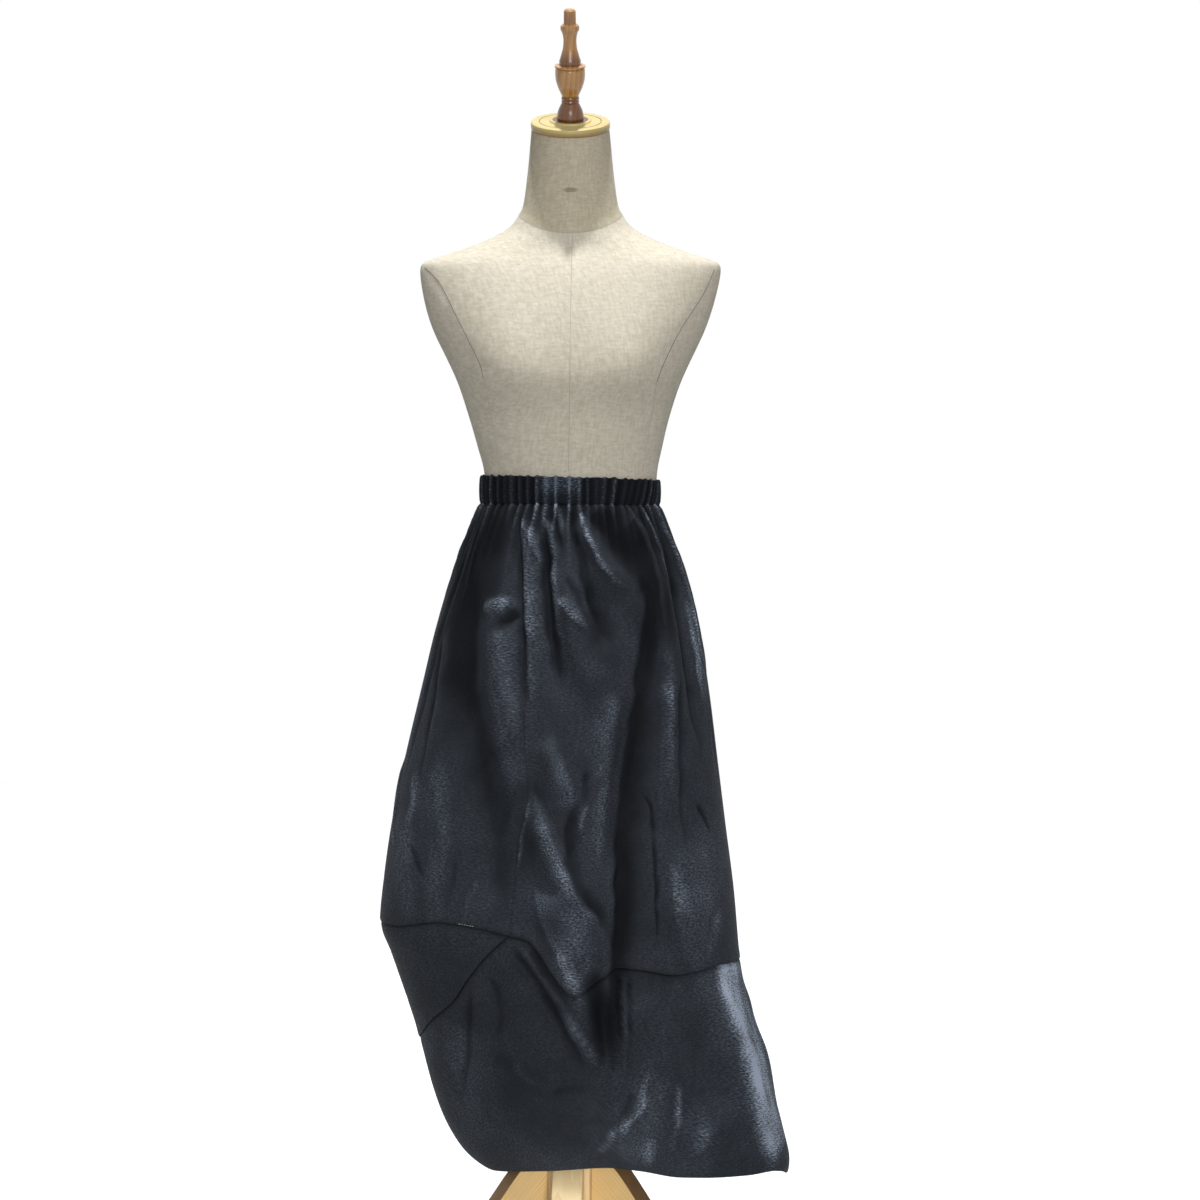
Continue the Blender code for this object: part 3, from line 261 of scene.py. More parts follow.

# Creases laid over the large folds. The number before the path is the painted light (above 0) or painted
# shade (below 0) laid on the cloth there. Columns: crease, side, left_width, right_width, rise, painted
# shading, path.
CREASES = (
    ("left seam line", "front", 5, 5, -3, -0.5,
     ((-68, 1060), (-65, 960), (-64, 890), (-61, 800), (-66, 700))),
    ("ridge beside left seam", "front", 4, 14, 4, 0.9, ((-64, 1075), (-59, 965), (-55, 890), (-49, 790))),
    ("waist lit corner", "front", 5, 9, 3.4, 1.3, ((-64, 1064), (-52, 1034), (-42, 1012), (-38, 990))),
    ("centre groove floor", "front", 6, 10, -6, -0.9,
     ((-40, 1064), (-31, 975), (-24, 902), (-14, 840), (3, 810))),
    ("pale ridge one", "front", 4, 6, 4.5, 1.3,
     ((-40, 1090), (-31, 1058), (-24, 1010), (-18, 945), (-6, 870))),
    ("pale ridge two", "front", 5, 5, 3.5, 0.9, ((-17, 1090), (-11, 1062), (-7, 1030))),
    ("dark wedge at waist", "front", 5, 5, -3, -0.7, ((-2, 1090), (3, 1068), (6, 1040), (8, 1010))),
    ("dark slit at waist", "front", 4, 4, -3, -0.7, ((-24, 1090), (-19, 1060), (-15, 1030), (-13, 1000))),
    ("pale ridge three", "front", 3, 7, 5, 1.45,
     ((12, 1090), (16, 1066), (22, 1035), (38, 1001), (59, 974), (83, 962))),
    ("hollow right of ridge three", "front", 16, 26, -3, -0.85,
     ((34, 1090), (50, 1045), (80, 1000), (106, 960))),
    ("hollow left of ridge three", "front", 5, 7, -4, -0.8,
     ((6, 1050), (13, 1010), (23, 970), (36, 930), (47, 890))),
    ("fine slanting hollow", "front", 4, 4, -2, -0.6, ((-6, 989), (10, 960), (28, 925))),
    ("slanting highlight", "front", 5, 10, 3, 1.0, ((-18, 958), (4, 935), (30, 908))),
    ("lit patch", "front", 17, 8, 4.5, 1.1, ((-122, 944), (-100, 950), (-80, 952), (-62, 950))),
    ("dark wedge", "front", 9, 9, -5, -1.0, ((-68, 943), (-86, 925), (-110, 908))),
    ("lit left band", "front", 16, 22, 3, 0.6, ((-96, 935), (-95, 870), (-88, 800), (-74, 720), (-66, 680))),
    ("wide left hollow", "front", 34, 22, -2, -0.75,
     ((-124, 1090), (-144, 965), (-144, 862), (-132, 792), (-114, 700), (-108, 600))),
    ("shaded hip", "front", 50, 34, -1, -0.75,
     ((-106, 1150), (-116, 1060), (-134, 990), (-150, 900), (-156, 800), (-158, 720))),
    ("shaded right hip", "front", 34, 34, 0, -0.85,
     ((78, 1140), (94, 1080), (108, 1020), (118, 960), (126, 880))),
    ("shade beside right seam", "front", 20, 18, 0, -0.55,
     ((94, 1060), (108, 1000), (124, 940), (138, 880), (148, 800))),
    ("shade under band", "front", 18, 18, 0, -0.45, ((-112, 1080), (-90, 1074), (-64, 1068))),
    ("shade above lit patch", "front", 26, 18, 0, -0.65,
     ((-96, 1075), (-102, 1030), (-106, 975), (-112, 900))),
    ("shade inside fan", "front", 12, 9, 0, -0.55, ((138, 1000), (148, 940), (156, 870), (164, 780))),
    ("shade in the middle", "front", 20, 20, 0, -0.6, ((24, 950), (44, 905), (64, 850))),
    ("low centre shade", "front", 50, 50, 0, -0.28, ((-70, 350), (-36, 290), (0, 240), (20, 190))),
    ("shade under right yoke", "front", 18, 18, 0, -0.35, ((74, 456), (100, 452), (150, 452))),
    ("shaded upper middle", "front", 18, 20, 0, -0.6, ((36, 1090), (62, 1040), (92, 1000))),
    ("left lower hollow", "front", 18, 18, -4, -0.4,
     ((-124, 800), (-108, 730), (-98, 680), (-92, 620), (-88, 540), (-86, 480))),
    ("seam edge light", "front", 2.5, 3, 2, 0.9, ((-51, 700), (-61, 655), (-68, 610), (-72, 570))),
    ("upper middle light", "front", 7, 20, 4, 0.65, ((6, 676), (0, 704), (-12, 740), (-26, 790))),
    ("lower middle light", "front", 14, 8, 4, 0.85,
     ((-54, 725), (-34, 655), (-12, 605), (6, 572), (28, 545), (52, 510))),
    ("middle zigzag hollow", "front", 6, 10, -4.5, -0.8,
     ((12, 698), (0, 658), (1, 622), (10, 582), (25, 560), (42, 536), (58, 500), (65, 480))),
    ("middle small ridge", "front", 4, 4, 2, 0.6, ((24, 690), (18, 665), (11, 640))),
    ("middle small dark", "front", 4, 5, -2, -0.6, ((22, 735), (20, 705), (16, 680))),
    ("long right hollow floor", "front", 9, 26, -5, -1.2,
     ((106, 980), (99, 900), (90, 795), (78, 703), (70, 610), (65, 530), (61, 430), (56, 330))),
    ("light left of long hollow", "front", 22, 10, 3, 0.5, ((57, 835), (52, 770), (43, 680))),
    ("lower light left of hollow", "front", 8, 8, 2, 0.5, ((44, 720), (40, 650), (38, 590))),
    ("right seam crease", "front", 3, 3, -2.5, -0.9,
     ((94, 708), (107, 682), (112, 636), (115, 560), (116, 475))),
    ("short right crease", "front", 3, 3, -2, -0.9, ((168, 686), (180, 662), (194, 630))),
    ("right dark line", "front", 3, 6, -2.5, -0.7, ((142, 870), (146, 760), (148, 680), (154, 590))),
    ("light left of dark line", "front", 10, 6, 3, 0.6, ((130, 860), (133, 770), (137, 680))),
    ("right trough floor", "front", 6, 10, -4.5, -1.0,
     ((114, 1045), (133, 1000), (143, 950), (151, 895), (163, 825), (172, 765), (177, 715))),
    ("right inner fan ridge", "front", 3, 6, 3.4, 1.25,
     ((70, 1090), (95, 1045), (108, 1012), (119, 965), (124, 880))),
    ("right middle fan ridge", "front", 2, 5, 3, 1.6, ((90, 1090), (112, 1038), (128, 990), (136, 950))),
    ("right outer fan ridge", "front", 4, 10, 3.4, 1.15,
     ((104, 1090), (126, 1045), (146, 1000), (163, 945), (177, 885), (188, 800), (194, 700))),
    ("outer edge glint", "front", 4, 14, 0, 1.35, ((154, 960), (164, 920), (172, 870), (180, 800))),
    ("right lit column", "front", 6, 9, 2, 0.35, ((126, 900), (132, 840), (138, 770))),
    ("shade left of right seam", "front", 12, 7, -3, -0.7, ((96, 990), (107, 940), (112, 885), (106, 830))),
    ("left edge groove", "front", 5, 5, -3, -0.8, ((-172, 930), (-183, 830), (-193, 755), (-206, 690))),
    ("left edge light", "front", 8, 6, 2, 0.4, ((-164, 920), (-174, 830), (-184, 745))),
    ("left edge lit spot", "front", 8, 10, 2, 0.9, ((-206, 726), (-210, 690), (-218, 640))),
    ("left low crease", "front", 6, 4, -2.5, -0.3, ((-216, 630), (-203, 604), (-186, 580))),
    ("left low light", "front", 24, 22, 2.5, 0.45, ((-226, 680), (-222, 600), (-210, 500))),
    ("left low line one", "front", 3, 3, -1.5, -0.4, ((-148, 620), (-156, 570), (-166, 530))),
    ("left low line two", "front", 3, 3, 1.5, 0.5, ((-122, 590), (-130, 560), (-138, 530))),
    ("drape left light", "front", 6, 16, 3, 0.6, ((-46, 590), (-28, 530), (-10, 490), (10, 430))),
    ("drape middle light", "front", 22, 18, 2, 0.6, ((0, 570), (14, 505), (14, 400))),
    ("right low light", "front", 26, 32, 2.5, 0.44, ((146, 640), (160, 560), (174, 425))),
    ("right streak by lower seam", "front", 6, 12, 0, 0.6, ((200, 540), (190, 505), (184, 470))),
    ("right streak above yoke", "front", 4, 10, 0, 0.5, ((132, 610), (140, 545), (144, 510))),
    ("diagonal trough one", "front", 10, 6, -4, -0.75, ((-78, 512), (-45, 455), (-10, 395), (26, 325))),
    ("diagonal trough two", "front", 6, 8, -4, -0.7, ((-56, 508), (-26, 462), (8, 412))),
    ("diagonal ridge between", "front", 10, 8, 3, 0.3, ((-66, 512), (-36, 464), (0, 412))),
    ("diagonal bright ridge", "front", 12, 6, 4, 0.7, ((-10, 424), (4, 400), (24, 370), (56, 326))),
    ("diagonal faint ridge", "front", 4, 4, 2.5, 0.4, ((-78, 500), (-54, 460), (-26, 410), (8, 350))),
    ("short dark crease", "front", 3, 5, -2.5, -0.4, ((-106, 467), (-95, 422), (-96, 390), (-104, 361))),
    ("long left crease", "front", 5, 5, -3, -0.6, ((-132, 449), (-139, 370), (-149, 263))),
    ("left pit", "front", 10, 10, -3, -0.3, ((-102, 350), (-84, 340), (-66, 332))),
    ("light arc under pit", "front", 6, 6, 2, 0.4, ((-74, 346), (-58, 326), (-34, 318))),
    ("crease across", "front", 5, 4, -2.5, -0.4, ((-26, 304), (-12, 308), (4, 312), (24, 317))),
    ("long hollow foot", "front", 8, 20, -2, -0.8, ((71, 640), (66, 560), (62, 500), (58, 430), (54, 350))),
    ("deep hollow floor", "front", 14, 14, -6, -1.2, ((28, 480), (40, 410), (49, 330))),
    ("front edge ridge", "front", 3, 3, 3, 0.4, ((72, 470), (71, 400), (70, 350), (64, 322), (55, 294))),
    ("front edge inner groove", "front", 2.5, 3, -3, -0.9, ((65, 472), (65, 410), (65, 350))),
    ("front edge outer groove", "front", 3, 3, -3, -0.7, ((79, 470), (79, 400), (74, 335))),
    ("low bright fold one", "front", 8, 4, 4.5, 1.1, ((38, 222), (46, 238), (58, 256), (78, 272))),
    ("low bright fold two", "front", 6, 4, 3, 1.1, ((104, 340), (92, 282), (75, 260), (60, 216))),
    ("low bright fold three", "front", 4, 5, 2.4, 0.9, ((146, 321), (141, 265), (136, 215))),
    ("low dark between", "front", 6, 6, -3, -0.6, ((82, 310), (74, 285), (62, 268))),
    ("hem light one", "front", 10, 8, 2, 0.5, ((184, 255), (174, 232), (162, 205))),
    ("hem light two", "front", 8, 8, 2, 0.5, ((112, 245), (104, 222), (98, 198))),
    ("low left light", "front", 34, 36, 0, 0.3, ((-128, 400), (-146, 330), (-130, 250), (-100, 200))),
    ("left foot side light", "front", 24, 30, 0, 0.35, ((-196, 400), (-202, 350), (-192, 300))),
    ("right panel light", "front", 24, 50, 0, 0.28, ((176, 680), (186, 580), (192, 480))),
    ("drape tip light", "front", 18, 18, 0, 0.4, ((-12, 505), (-4, 470), (4, 440))),
    ("drape shade", "front", 15, 15, 0, -0.4, ((-20, 548), (-26, 505))),
    ("knee shade", "front", 18, 18, 0, -0.62, ((-46, 730), (-52, 660), (-60, 585))),
    ("shade in lit panel", "front", 30, 22, 0, -0.4, ((-110, 930), (-110, 860), (-96, 790), (-86, 700))),
    ("low right light", "front", 30, 36, 0, 0.4, ((80, 180), (92, 250), (110, 340), (130, 420))),
    ("hem light between", "front", 26, 30, 0, 0.3, ((180, 176), (172, 230), (160, 300))),
    ("left knee light", "front", 22, 16, 1.5, 0.4, ((-176, 760), (-172, 660), (-178, 560), (-186, 470))),
    ("left side crease one", "left", 6, 7, -3.5, -0.6, ((-30, 1040), (-40, 930), (-46, 800), (-40, 680))),
    ("left side crease two", "left", 5, 7, 3.5, 0.6, ((10, 1050), (16, 950), (12, 840))),
    ("left side crease three", "left", 7, 6, -4, -0.7, ((60, 1030), (70, 900), (66, 760), (58, 620))),
    ("left side slanting", "left", 6, 5, 3, 0.5, ((-10, 740), (-34, 660), (-70, 580))),
    ("left gusset crease", "left", 6, 6, -2.5, -0.4, ((60, 470), (20, 430), (-30, 400))),
    ("right side crease one", "right", 6, 7, -3.5, -0.7, ((-20, 1040), (-22, 930), (-30, 800), (-26, 660))),
    ("right side crease two", "right", 5, 8, 4, 0.6, ((14, 1050), (20, 920), (16, 780))),
    ("right side slanting", "right", 6, 5, -3, -0.5, ((70, 720), (36, 620), (10, 530))),
    ("right low crease", "right", 6, 7, 3.5, 0.6, ((0, 430), (-6, 340), (4, 240))),
    ("right low hollow", "right", 7, 6, -3.5, -0.5, ((74, 420), (82, 330), (78, 250))),
    ("back crease one", "back", 6, 6, -3.5, -0.7, ((-72, 1050), (-86, 930), (-92, 800), (-88, 660))),
    ("back crease two", "back", 5, 7, 3.5, 0.6, ((-34, 1060), (-42, 950), (-44, 840))),
    ("back crease three", "back", 5, 6, -3.5, -0.7, ((14, 1060), (18, 930), (24, 780), (20, 640))),
    ("back crease four", "back", 6, 5, 3.5, 0.6, ((62, 1060), (74, 930), (84, 790))),
    ("back crease five", "back", 6, 6, -3, -0.6, ((110, 1020), (134, 880), (146, 730))),
    ("back slanting crease", "back", 6, 5, 3, 0.5, ((-130, 700), (-80, 620), (-20, 560))),
    ("back low crease one", "back", 6, 6, -3, -0.5, ((-110, 450), (-80, 360), (-30, 270))),
    ("back low crease two", "back", 5, 6, 3, 0.5, ((60, 450), (100, 360), (160, 260))),
)

# Painted sheen on the lower cloth only, in the creases' columns.
LOWER_SHEEN = (
    ("right flare sheen", "front", 22, 60, 0, 1.95,
     ((209, 480), (218, 418), (232, 366), (246, 318), (258, 268), (270, 222), (283, 170))),
    ("right flare soft edge", "front", 34, 24, 0, 0.35,
     ((194, 480), (204, 430), (218, 380), (234, 320), (250, 260), (266, 190))),
)

# Sections of the form: middle and half width, height at the sides, and the front and back points. Columns:
# ring, middle_x, half_width, side_z, front_y, front_z, back_y, back_z.
TORSO_RINGS = (
    ("base", 0, 152, 800, -99, 800, 106, 800),
    ("low hip", 0, 163, 820, -109, 820, 119, 820),
    ("hip", 0, 165, 875, -111, 875, 123, 875),
    ("high hip", 0, 152, 950, -103, 950, 112, 950),
    ("below waist", 0, 130, 1020, -93, 1020, 95, 1020),
    ("waist", 0, 117.8, 1082, -89, 1082, 86.2, 1082),
    ("above waist", 0, 118.2, 1125, -89.2, 1125, 86.2, 1125),
    ("ribs", -1, 126, 1160, -94, 1160, 90, 1160),
    ("under bust", -2, 136.5, 1200, -100, 1198, 96, 1200),
    ("bust", -2, 152, 1247.5, -111, 1244, 104, 1250),
    ("armpit", -2, 172, 1291, -109, 1294, 109, 1290),
    ("chest", -2.5, 191, 1330, -102, 1340, 112, 1330),
    ("upper chest", -1, 202.5, 1378, -85, 1381, 109, 1378),
    ("armhole", 0, 206, 1406, -73, 1402, 99, 1407),
    ("shoulder tip", 0, 199, 1412.5, -68, 1407, 94, 1415),
    ("outer shoulder", 0, 168, 1422.5, -62, 1416, 86, 1432),
    ("shoulder", 0, 125, 1437, -56.8, 1426, 76, 1450),
    ("collar", 0, 86, 1455.5, -57.4, 1435.5, 66.5, 1468),
    ("neck seam", 0, 70, 1477, -57, 1444, 60, 1485),
)
NECK_RINGS = (
    ("neck seam", 0, 69.5, 1477.4, -56.5, 1444.4, 59.5, 1485.4),
    ("low", 0, 64, 1492, -56.8, 1463, 54.5, 1503),
    ("middle", 0, 58.5, 1533, -60, 1509, 45, 1549),
    ("high", 0, 55.2, 1568.5, -64.5, 1548.5, 35, 1591.2),
)
NECK_TILT = math.radians(24.0)
NECK_TOP_CENTRE = Vector((0.0, -0.0179, 1.59))
NECK_TOP_RADIUS = 0.0525
BUST_CENTRE = (0.078, 1.262)
BUST_RISE = 0.02
BUST_SPREAD = (0.056, 0.058, 0.04)
PIECE_GAP = 0.0003
FORM_COLUMNS = 176
TORSO_LOOPS = 200
NECK_LOOPS = 30
# Rounding of the shoulders: the rows between which it works, how softly it starts and ends, its rounds, its
# strength, and how much of it is left at the sides, where it gives way to the shoulder tips.
SHOULDER_ROWS = (9.0, 18.0)
SHOULDER_SOFTNESS = (2.0, 3.0)
SHOULDER_ROUNDING = 260
SHOULDER_STRENGTH = 0.25
SHOULDER_AT_SIDES = 0.25

# Seams of the form's cover on its front. Columns: seam, thread, places across and heights.
FORM_SEAMS = (
    ("form_seam_front", "pale", ((0.003, 1.441), (0.002, 1.38), (0.001, 1.3), (0.0, 1.22), (-0.002, 1.125))),
    ("form_seam_left", "dark",
     ((-0.197, 1.402), (-0.176, 1.379), (-0.152, 1.333), (-0.132, 1.293), (-0.119, 1.266), (-0.115, 1.248))),
    ("form_seam_right", "dark",
     ((0.195, 1.4), (0.18, 1.366), (0.147, 1.313), (0.127, 1.273), (0.1155, 1.244))),
    ("form_seam_low_left", "pale", ((-0.115, 1.248), (-0.108, 1.215), (-0.1, 1.17), (-0.094, 1.125))),
    ("form_seam_low_right", "pale", ((0.1155, 1.244), (0.11, 1.205), (0.103, 1.165), (0.097, 1.125))),
)
SEAM_WELT_RADIUS = 0.00055
NECK_WELT_RADIUS = 0.0005
# The shoulder seam: its inner and outer places across, and its depth
SHOULDER_SEAM = (0.072, 0.198, 0.012)
WELT_SAMPLES = 90
NECK_WELT_SAMPLES = 120
SHOULDER_WELT_SAMPLES = 60
ABOVE_ALL = 2.0

# Turned profiles: radius and height along the axis of the neck cap, the finial's in millimetres
CAP_RADIUS = 0.0535
CAP_THICKNESS = 0.01
CAP_PROFILE = (
    (CAP_RADIUS - 0.0015, 0.0), (CAP_RADIUS - 0.0004, 0.0006), (CAP_RADIUS, 0.002),
    (CAP_RADIUS, 0.0075), (CAP_RADIUS - 0.0006, 0.0092), (CAP_RADIUS - 0.0022, CAP_THICKNESS),
    (0.043, CAP_THICKNESS), (0.0426, 0.0092), (0.0414, 0.0092), (0.041, CAP_THICKNESS),
    (0.0287, 0.0102), (0.0282, 0.0116), (0.0275, 0.0122), (0.0246, 0.0122), (0.024, 0.0122),
)
# Radius within which the cap's top gets a painted shadow of the finial, all round its foot
CAP_SHADOW_RADIUS = 0.0242
CAP_RIM_DEPTH = 0.0012
CAP_GROOVE_RADIUS = 0.042
CAP_GROOVE_HALF = 0.0007
FINIAL_PROFILE = (
    (18, 0), (18.2, 4), (16.5, 12), (12.8, 20), (11.4, 22.5), (12.2, 24), (11.4, 26.2), (12.2, 28.5),
    (11.2, 31), (12.6, 34.5), (16.5, 43), (19.6, 54), (20, 66), (18.6, 69), (20.7, 70.2), (20.7, 72.2),
    (14.2, 73.8), (14.6, 78), (11.8, 87), (9.4, 96), (8.8, 107), (10.4, 115), (12.6, 120), (12.2, 125),
    (8.2, 127.5), (8, 144), (6, 146),
)
# The rows of the finial's profile that stay sharp
FINIAL_CORNERS = (4, 5, 6, 7, 8, 13, 14, 15, 16, 17, 23, 24, 25)
# Darker stretches of the finial: lowest and highest place, how softly the top ends, and strength.
FINIAL_DARK_STRETCHES = ((0.0, 0.033, 0.002, 1.0), (0.0735, 0.096, 0.016, 0.95), (0.1268, 0.147, 0.01, 0.5))
TURNED_SIDES = 96

# Stand
LEG_COUNT = 5
LEG_THICKNESS = 0.041
LEG_BEVEL = 0.0016
LEG_TOP_TONES = (0.0, 1.0, 0.5, 0.5, 0.9)
LEG_TONE_FROM = 0.015
# Share of the front board's pale tint given to its sides as painted light; its top edge is raw pale wood
LEG_LIT_SIDES = 0.7
LEG_SHARP_FROM = 0.039
LEG_GRAIN_SHIFT = np.array([0.37, 0.11, 0.23])
STAND_TURN = math.radians(-3.0)
LEG_TOP = (
    (0.0383, 0.196), (0.057, 0.189), (0.074, 0.175), (0.087, 0.159), (0.0995, 0.142),
    (0.114, 0.122), (0.14, 0.088), (0.18, 0.06),
    (0.24, 0.042), (0.296, 0.032), (0.305, 0.024),
)
LEG_UNDERSIDE = (
    (0.305, 0.0), (0.245, 0.0), (0.235, 0.01), (0.085, 0.01), (0.075, 0.0), (0.0383, 0.0),
)

# Camera and light
CAMERA_PLACE = Vector((0.04, -3.0, 1.05))
CAMERA_AIM = Vector((0.04, 0.0, 0.951))
CAMERA_LENS = 65.7
CAMERA_SENSOR = 36.0
LIGHT_AIM = Vector((0.0, 0.0, 0.95))
LIGHT_DISTANCE = 6.5
# Columns: light, azimuth, elevation, size, power.
LIGHTS = (
    ("sun", 4.0, 85.6, 0.22, 398.0),
    ("front", 14.0, 54.0, 2.2, 92.0),
    ("low", 4.0, 5.0, 2.4, 108.0),
)
WORLD_STRENGTH = 0.18
FLOOR_HALF = 6.0
FLOOR_SOFT = (0.34, 0.34, 0.34, 1.0)
FLOOR_PALE = (0.55, 0.55, 0.55, 1.0)
FLOOR_GLOW = 0.75
WHITE = (1.0, 1.0, 1.0, 1.0)
FOOT_LIGHT_PLACE = Vector((0.15, -1.5, 0.04))
FOOT_LIGHT_AIM = Vector((0.0, 0.0, 0.14))
FOOT_LIGHT_ANGLE = math.radians(14.0)
FOOT_LIGHT_POWER = 36.0
FOOT_LIGHT_BLEND = 0.8
FOOT_LIGHT_SIZE = 0.1


# Smooth curves and the skirt's surface

def catmull(before, start, end, after, part):
    """A point on the smooth curve from start to end, with the points before and after them."""
    linear = end - before
    square = 2.0 * before - 5.0 * start + 4.0 * end - after
    cube = 3.0 * (start - end) + after - before
    return 0.5 * (2.0 * start + part * (linear + part * (square + part * cube)))


def along_rows(rows, place):
    """The values at a fractional row number of a table of numbers, on a smooth curve through its rows."""
    rows = np.asarray(rows, float)
    place = np.asarray(place, float)
    last = len(rows) - 1
    index = np.clip(np.floor(place).astype(int), 0, last - 1)
    part = (place - index)[..., None]
    around = [rows[np.clip(index + step, 0, last)] for step in (-1, 0, 1, 2)]
    return catmull(*around, part)


def smooth_value(table, key):
    """The second column of a table at a value of its first, on a smooth curve with no overshoot."""
    keys, values = np.array(sorted(table), float).T
    slopes = np.diff(values) / np.diff(keys)
    tangents = np.zeros(len(keys))
    same_way = slopes[:-1] * slopes[1:] > 0.0
    tangents[1:-1][same_way] = 2.0 / (1.0 / slopes[:-1][same_way] + 1.0 / slopes[1:][same_way])
    tangents[0], tangents[-1] = slopes[0], slopes[-1]
    key = np.clip(key, keys[0], keys[-1])
    index = np.clip(np.searchsorted(keys, key, side="right") - 1, 0, len(keys) - 2)
    width = keys[index + 1] - keys[index]
    part = (key - keys[index]) / width
    return (
        values[index] * (1.0 + 2.0 * part) * (1.0 - part) ** 2
        + values[index + 1] * (3.0 - 2.0 * part) * part**2
        + tangents[index] * width * part * (1.0 - part) ** 2
        + tangents[index + 1] * width * part**2 * (part - 1.0)
    )


def ring_point(measures, around):
    """The point of a ring at an angle from its front, given its four ends' measures in the columns' order."""
    left_x, left_z, right_x, right_z, front_y, front_z, back_y, back_z = np.moveaxis(measures, -1, 0)
    sine = np.sin(around)
    cosine = np.cos(around)
    x = 0.5 * (left_x + right_x) + 0.5 * (right_x - left_x) * sine
    y = np.where(cosine > 0.0, front_y * cosine, -back_y * cosine)
    z = 0.25 * (left_z + right_z + front_z + back_z)
    z = z + 0.5 * (right_z - left_z) * sine + 0.5 * (front_z - back_z) * cosine
    z = z + 0.25 * (front_z + back_z - left_z - right_z) * np.cos(2.0 * around)
    return np.stack([x, y, z], axis=-1)


def in_metres(rows):
    """The numbers of a table in millimetres whose first column is a name."""
    return np.array([row[1:] for row in rows]) / 1000.0


SKIRT_MEASURES = in_metres(RINGS)


def ring_measures(ring):
    return along_rows(SKIRT_MEASURES, ring)


def skirt_point(around, ring):
    """A point of the skirt before its folds, at an angle from the centre front and a ring number."""
    points = ring_point(ring_measures(ring), around)
    share = np.clip((ring - HEM_LIFT_FROM_RING) / (HEM_RING - HEM_LIFT_FROM_RING), 0.0, 1.0)
    points[..., 2] += smooth_value(HEM_LIFT, np.degrees(around)) * share * share * (3.0 - 2.0 * share)
    return points


def unit(vectors):
    return vectors / np.maximum(np.linalg.norm(vectors, axis=-1, keepdims=True), 1e-12)


def skirt_normal(around, ring, step=1e-3):
    """The outward normal of the skirt before its folds."""
    across = skirt_point(around + step, ring) - skirt_point(around - step, ring)
    upper = np.maximum(ring - step, 0.0)
    lower = np.minimum(ring + step, len(SKIRT_MEASURES) - 1.0)
    down = skirt_point(around, lower) - skirt_point(around, upper)
    return unit(np.cross(down, across))


def grid_normal(points):
    """The outward normals of a grid of points whose rows run downwards."""
    return unit(np.cross(np.gradient(points, axis=0), np.gradient(points, axis=1)))


def ring_at_height(around, height):
    """The ring number at which the skirt passes a height, for each angle."""
    rings = np.linspace(0.0, HEM_RING, HEIGHT_SAMPLES)
    found = []
    for angle, wanted in zip(around, height):
        heights = skirt_point(np.full(len(rings), angle), rings)[:, 2]
        found.append(np.interp(-wanted, -heights, rings))
    return np.array(found)


def angle_of(side, place, ring):
    """The angle round the skirt of a place on one of its sides: x on the front and back, y on the others."""
    measures = ring_measures(ring)
    left_x, right_x, front_y, back_y = measures[..., 0], measures[..., 2], measures[..., 4], measures[..., 6]
    if side in ("front", "back"):
        angle = np.arcsin(np.clip((2.0 * place - left_x - right_x) / (right_x - left_x), -1.0, 1.0))
        return angle if side == "front" else math.pi - angle
    angle = np.arccos(np.clip(np.where(place < 0.0, place / front_y, -place / back_y), -1.0, 1.0))
    return angle if side == "right" else -angle


def fold_path(side, path):
    """Points on the unfolded skirt along a fold, from its top to its end."""
    places = along_rows(path, np.linspace(0.0, len(path) - 1.0, PATH_SAMPLES))
    ring = np.full(PATH_SAMPLES, FIRST_GUESS_RING)
    for _ in range(PATH_ROUNDS):
        around = angle_of(side, places[:, 0], ring)
        ring = ring_at_height(around, places[:, 1])
    return skirt_point(around, ring)


def laid(rows, power, fades):
    """Folds ready to be laid on the skirt: path, widths, power of the slope, end fades, rise and painted
    light and shade.
    """
    ready = []
    for _, side, left_width, right_width, rise, *painted_shading, path in rows:
        sizes = np.array([left_width, right_width, rise]) / 1000.0
        ready.append((fold_path(side, np.array(path) / 1000.0), *sizes[:2], power, fades, sizes[2], sum(painted_shading)))
    return ready


FULL_FOLDS = laid(FOLDS, FOLD_POWER, FOLD_FADES) + laid(CREASES, CREASE_POWER, CREASE_FADES)
LOWER_FOLDS = FULL_FOLDS + laid(LOWER_SHEEN, CREASE_POWER, SHEEN_FADES)


def slow_waves(places, seed, short, long, count=6):
    """Uneven slow waves through space, about -1 to 1, which run on across the seams."""
    draw = np.random.default_rng(seed)
    total = np.zeros(len(places))
    for _ in range(count):
        way = draw.normal(size=3)
        way *= 2.0 * math.pi / (np.linalg.norm(way) * draw.uniform(short, long))
        total += np.sin(places @ way + draw.uniform(0.0, 2.0 * math.pi))
    return total * math.sqrt(1.0 / count)


def painted_shading_powers(left_width, right_width):
    """How crisply the painted light and shade of a crease end on its left and right: crisper on the narrower
    side.
    """
    if abs(left_width - right_width) < 1e-6:
        return PAINTED_SHADING_EVEN, PAINTED_SHADING_EVEN
    return (PAINTED_SHADING_CRISP, PAINTED_SHADING_SOFT) if left_width < right_width else (PAINTED_SHADING_SOFT, PAINTED_SHADING_CRISP)


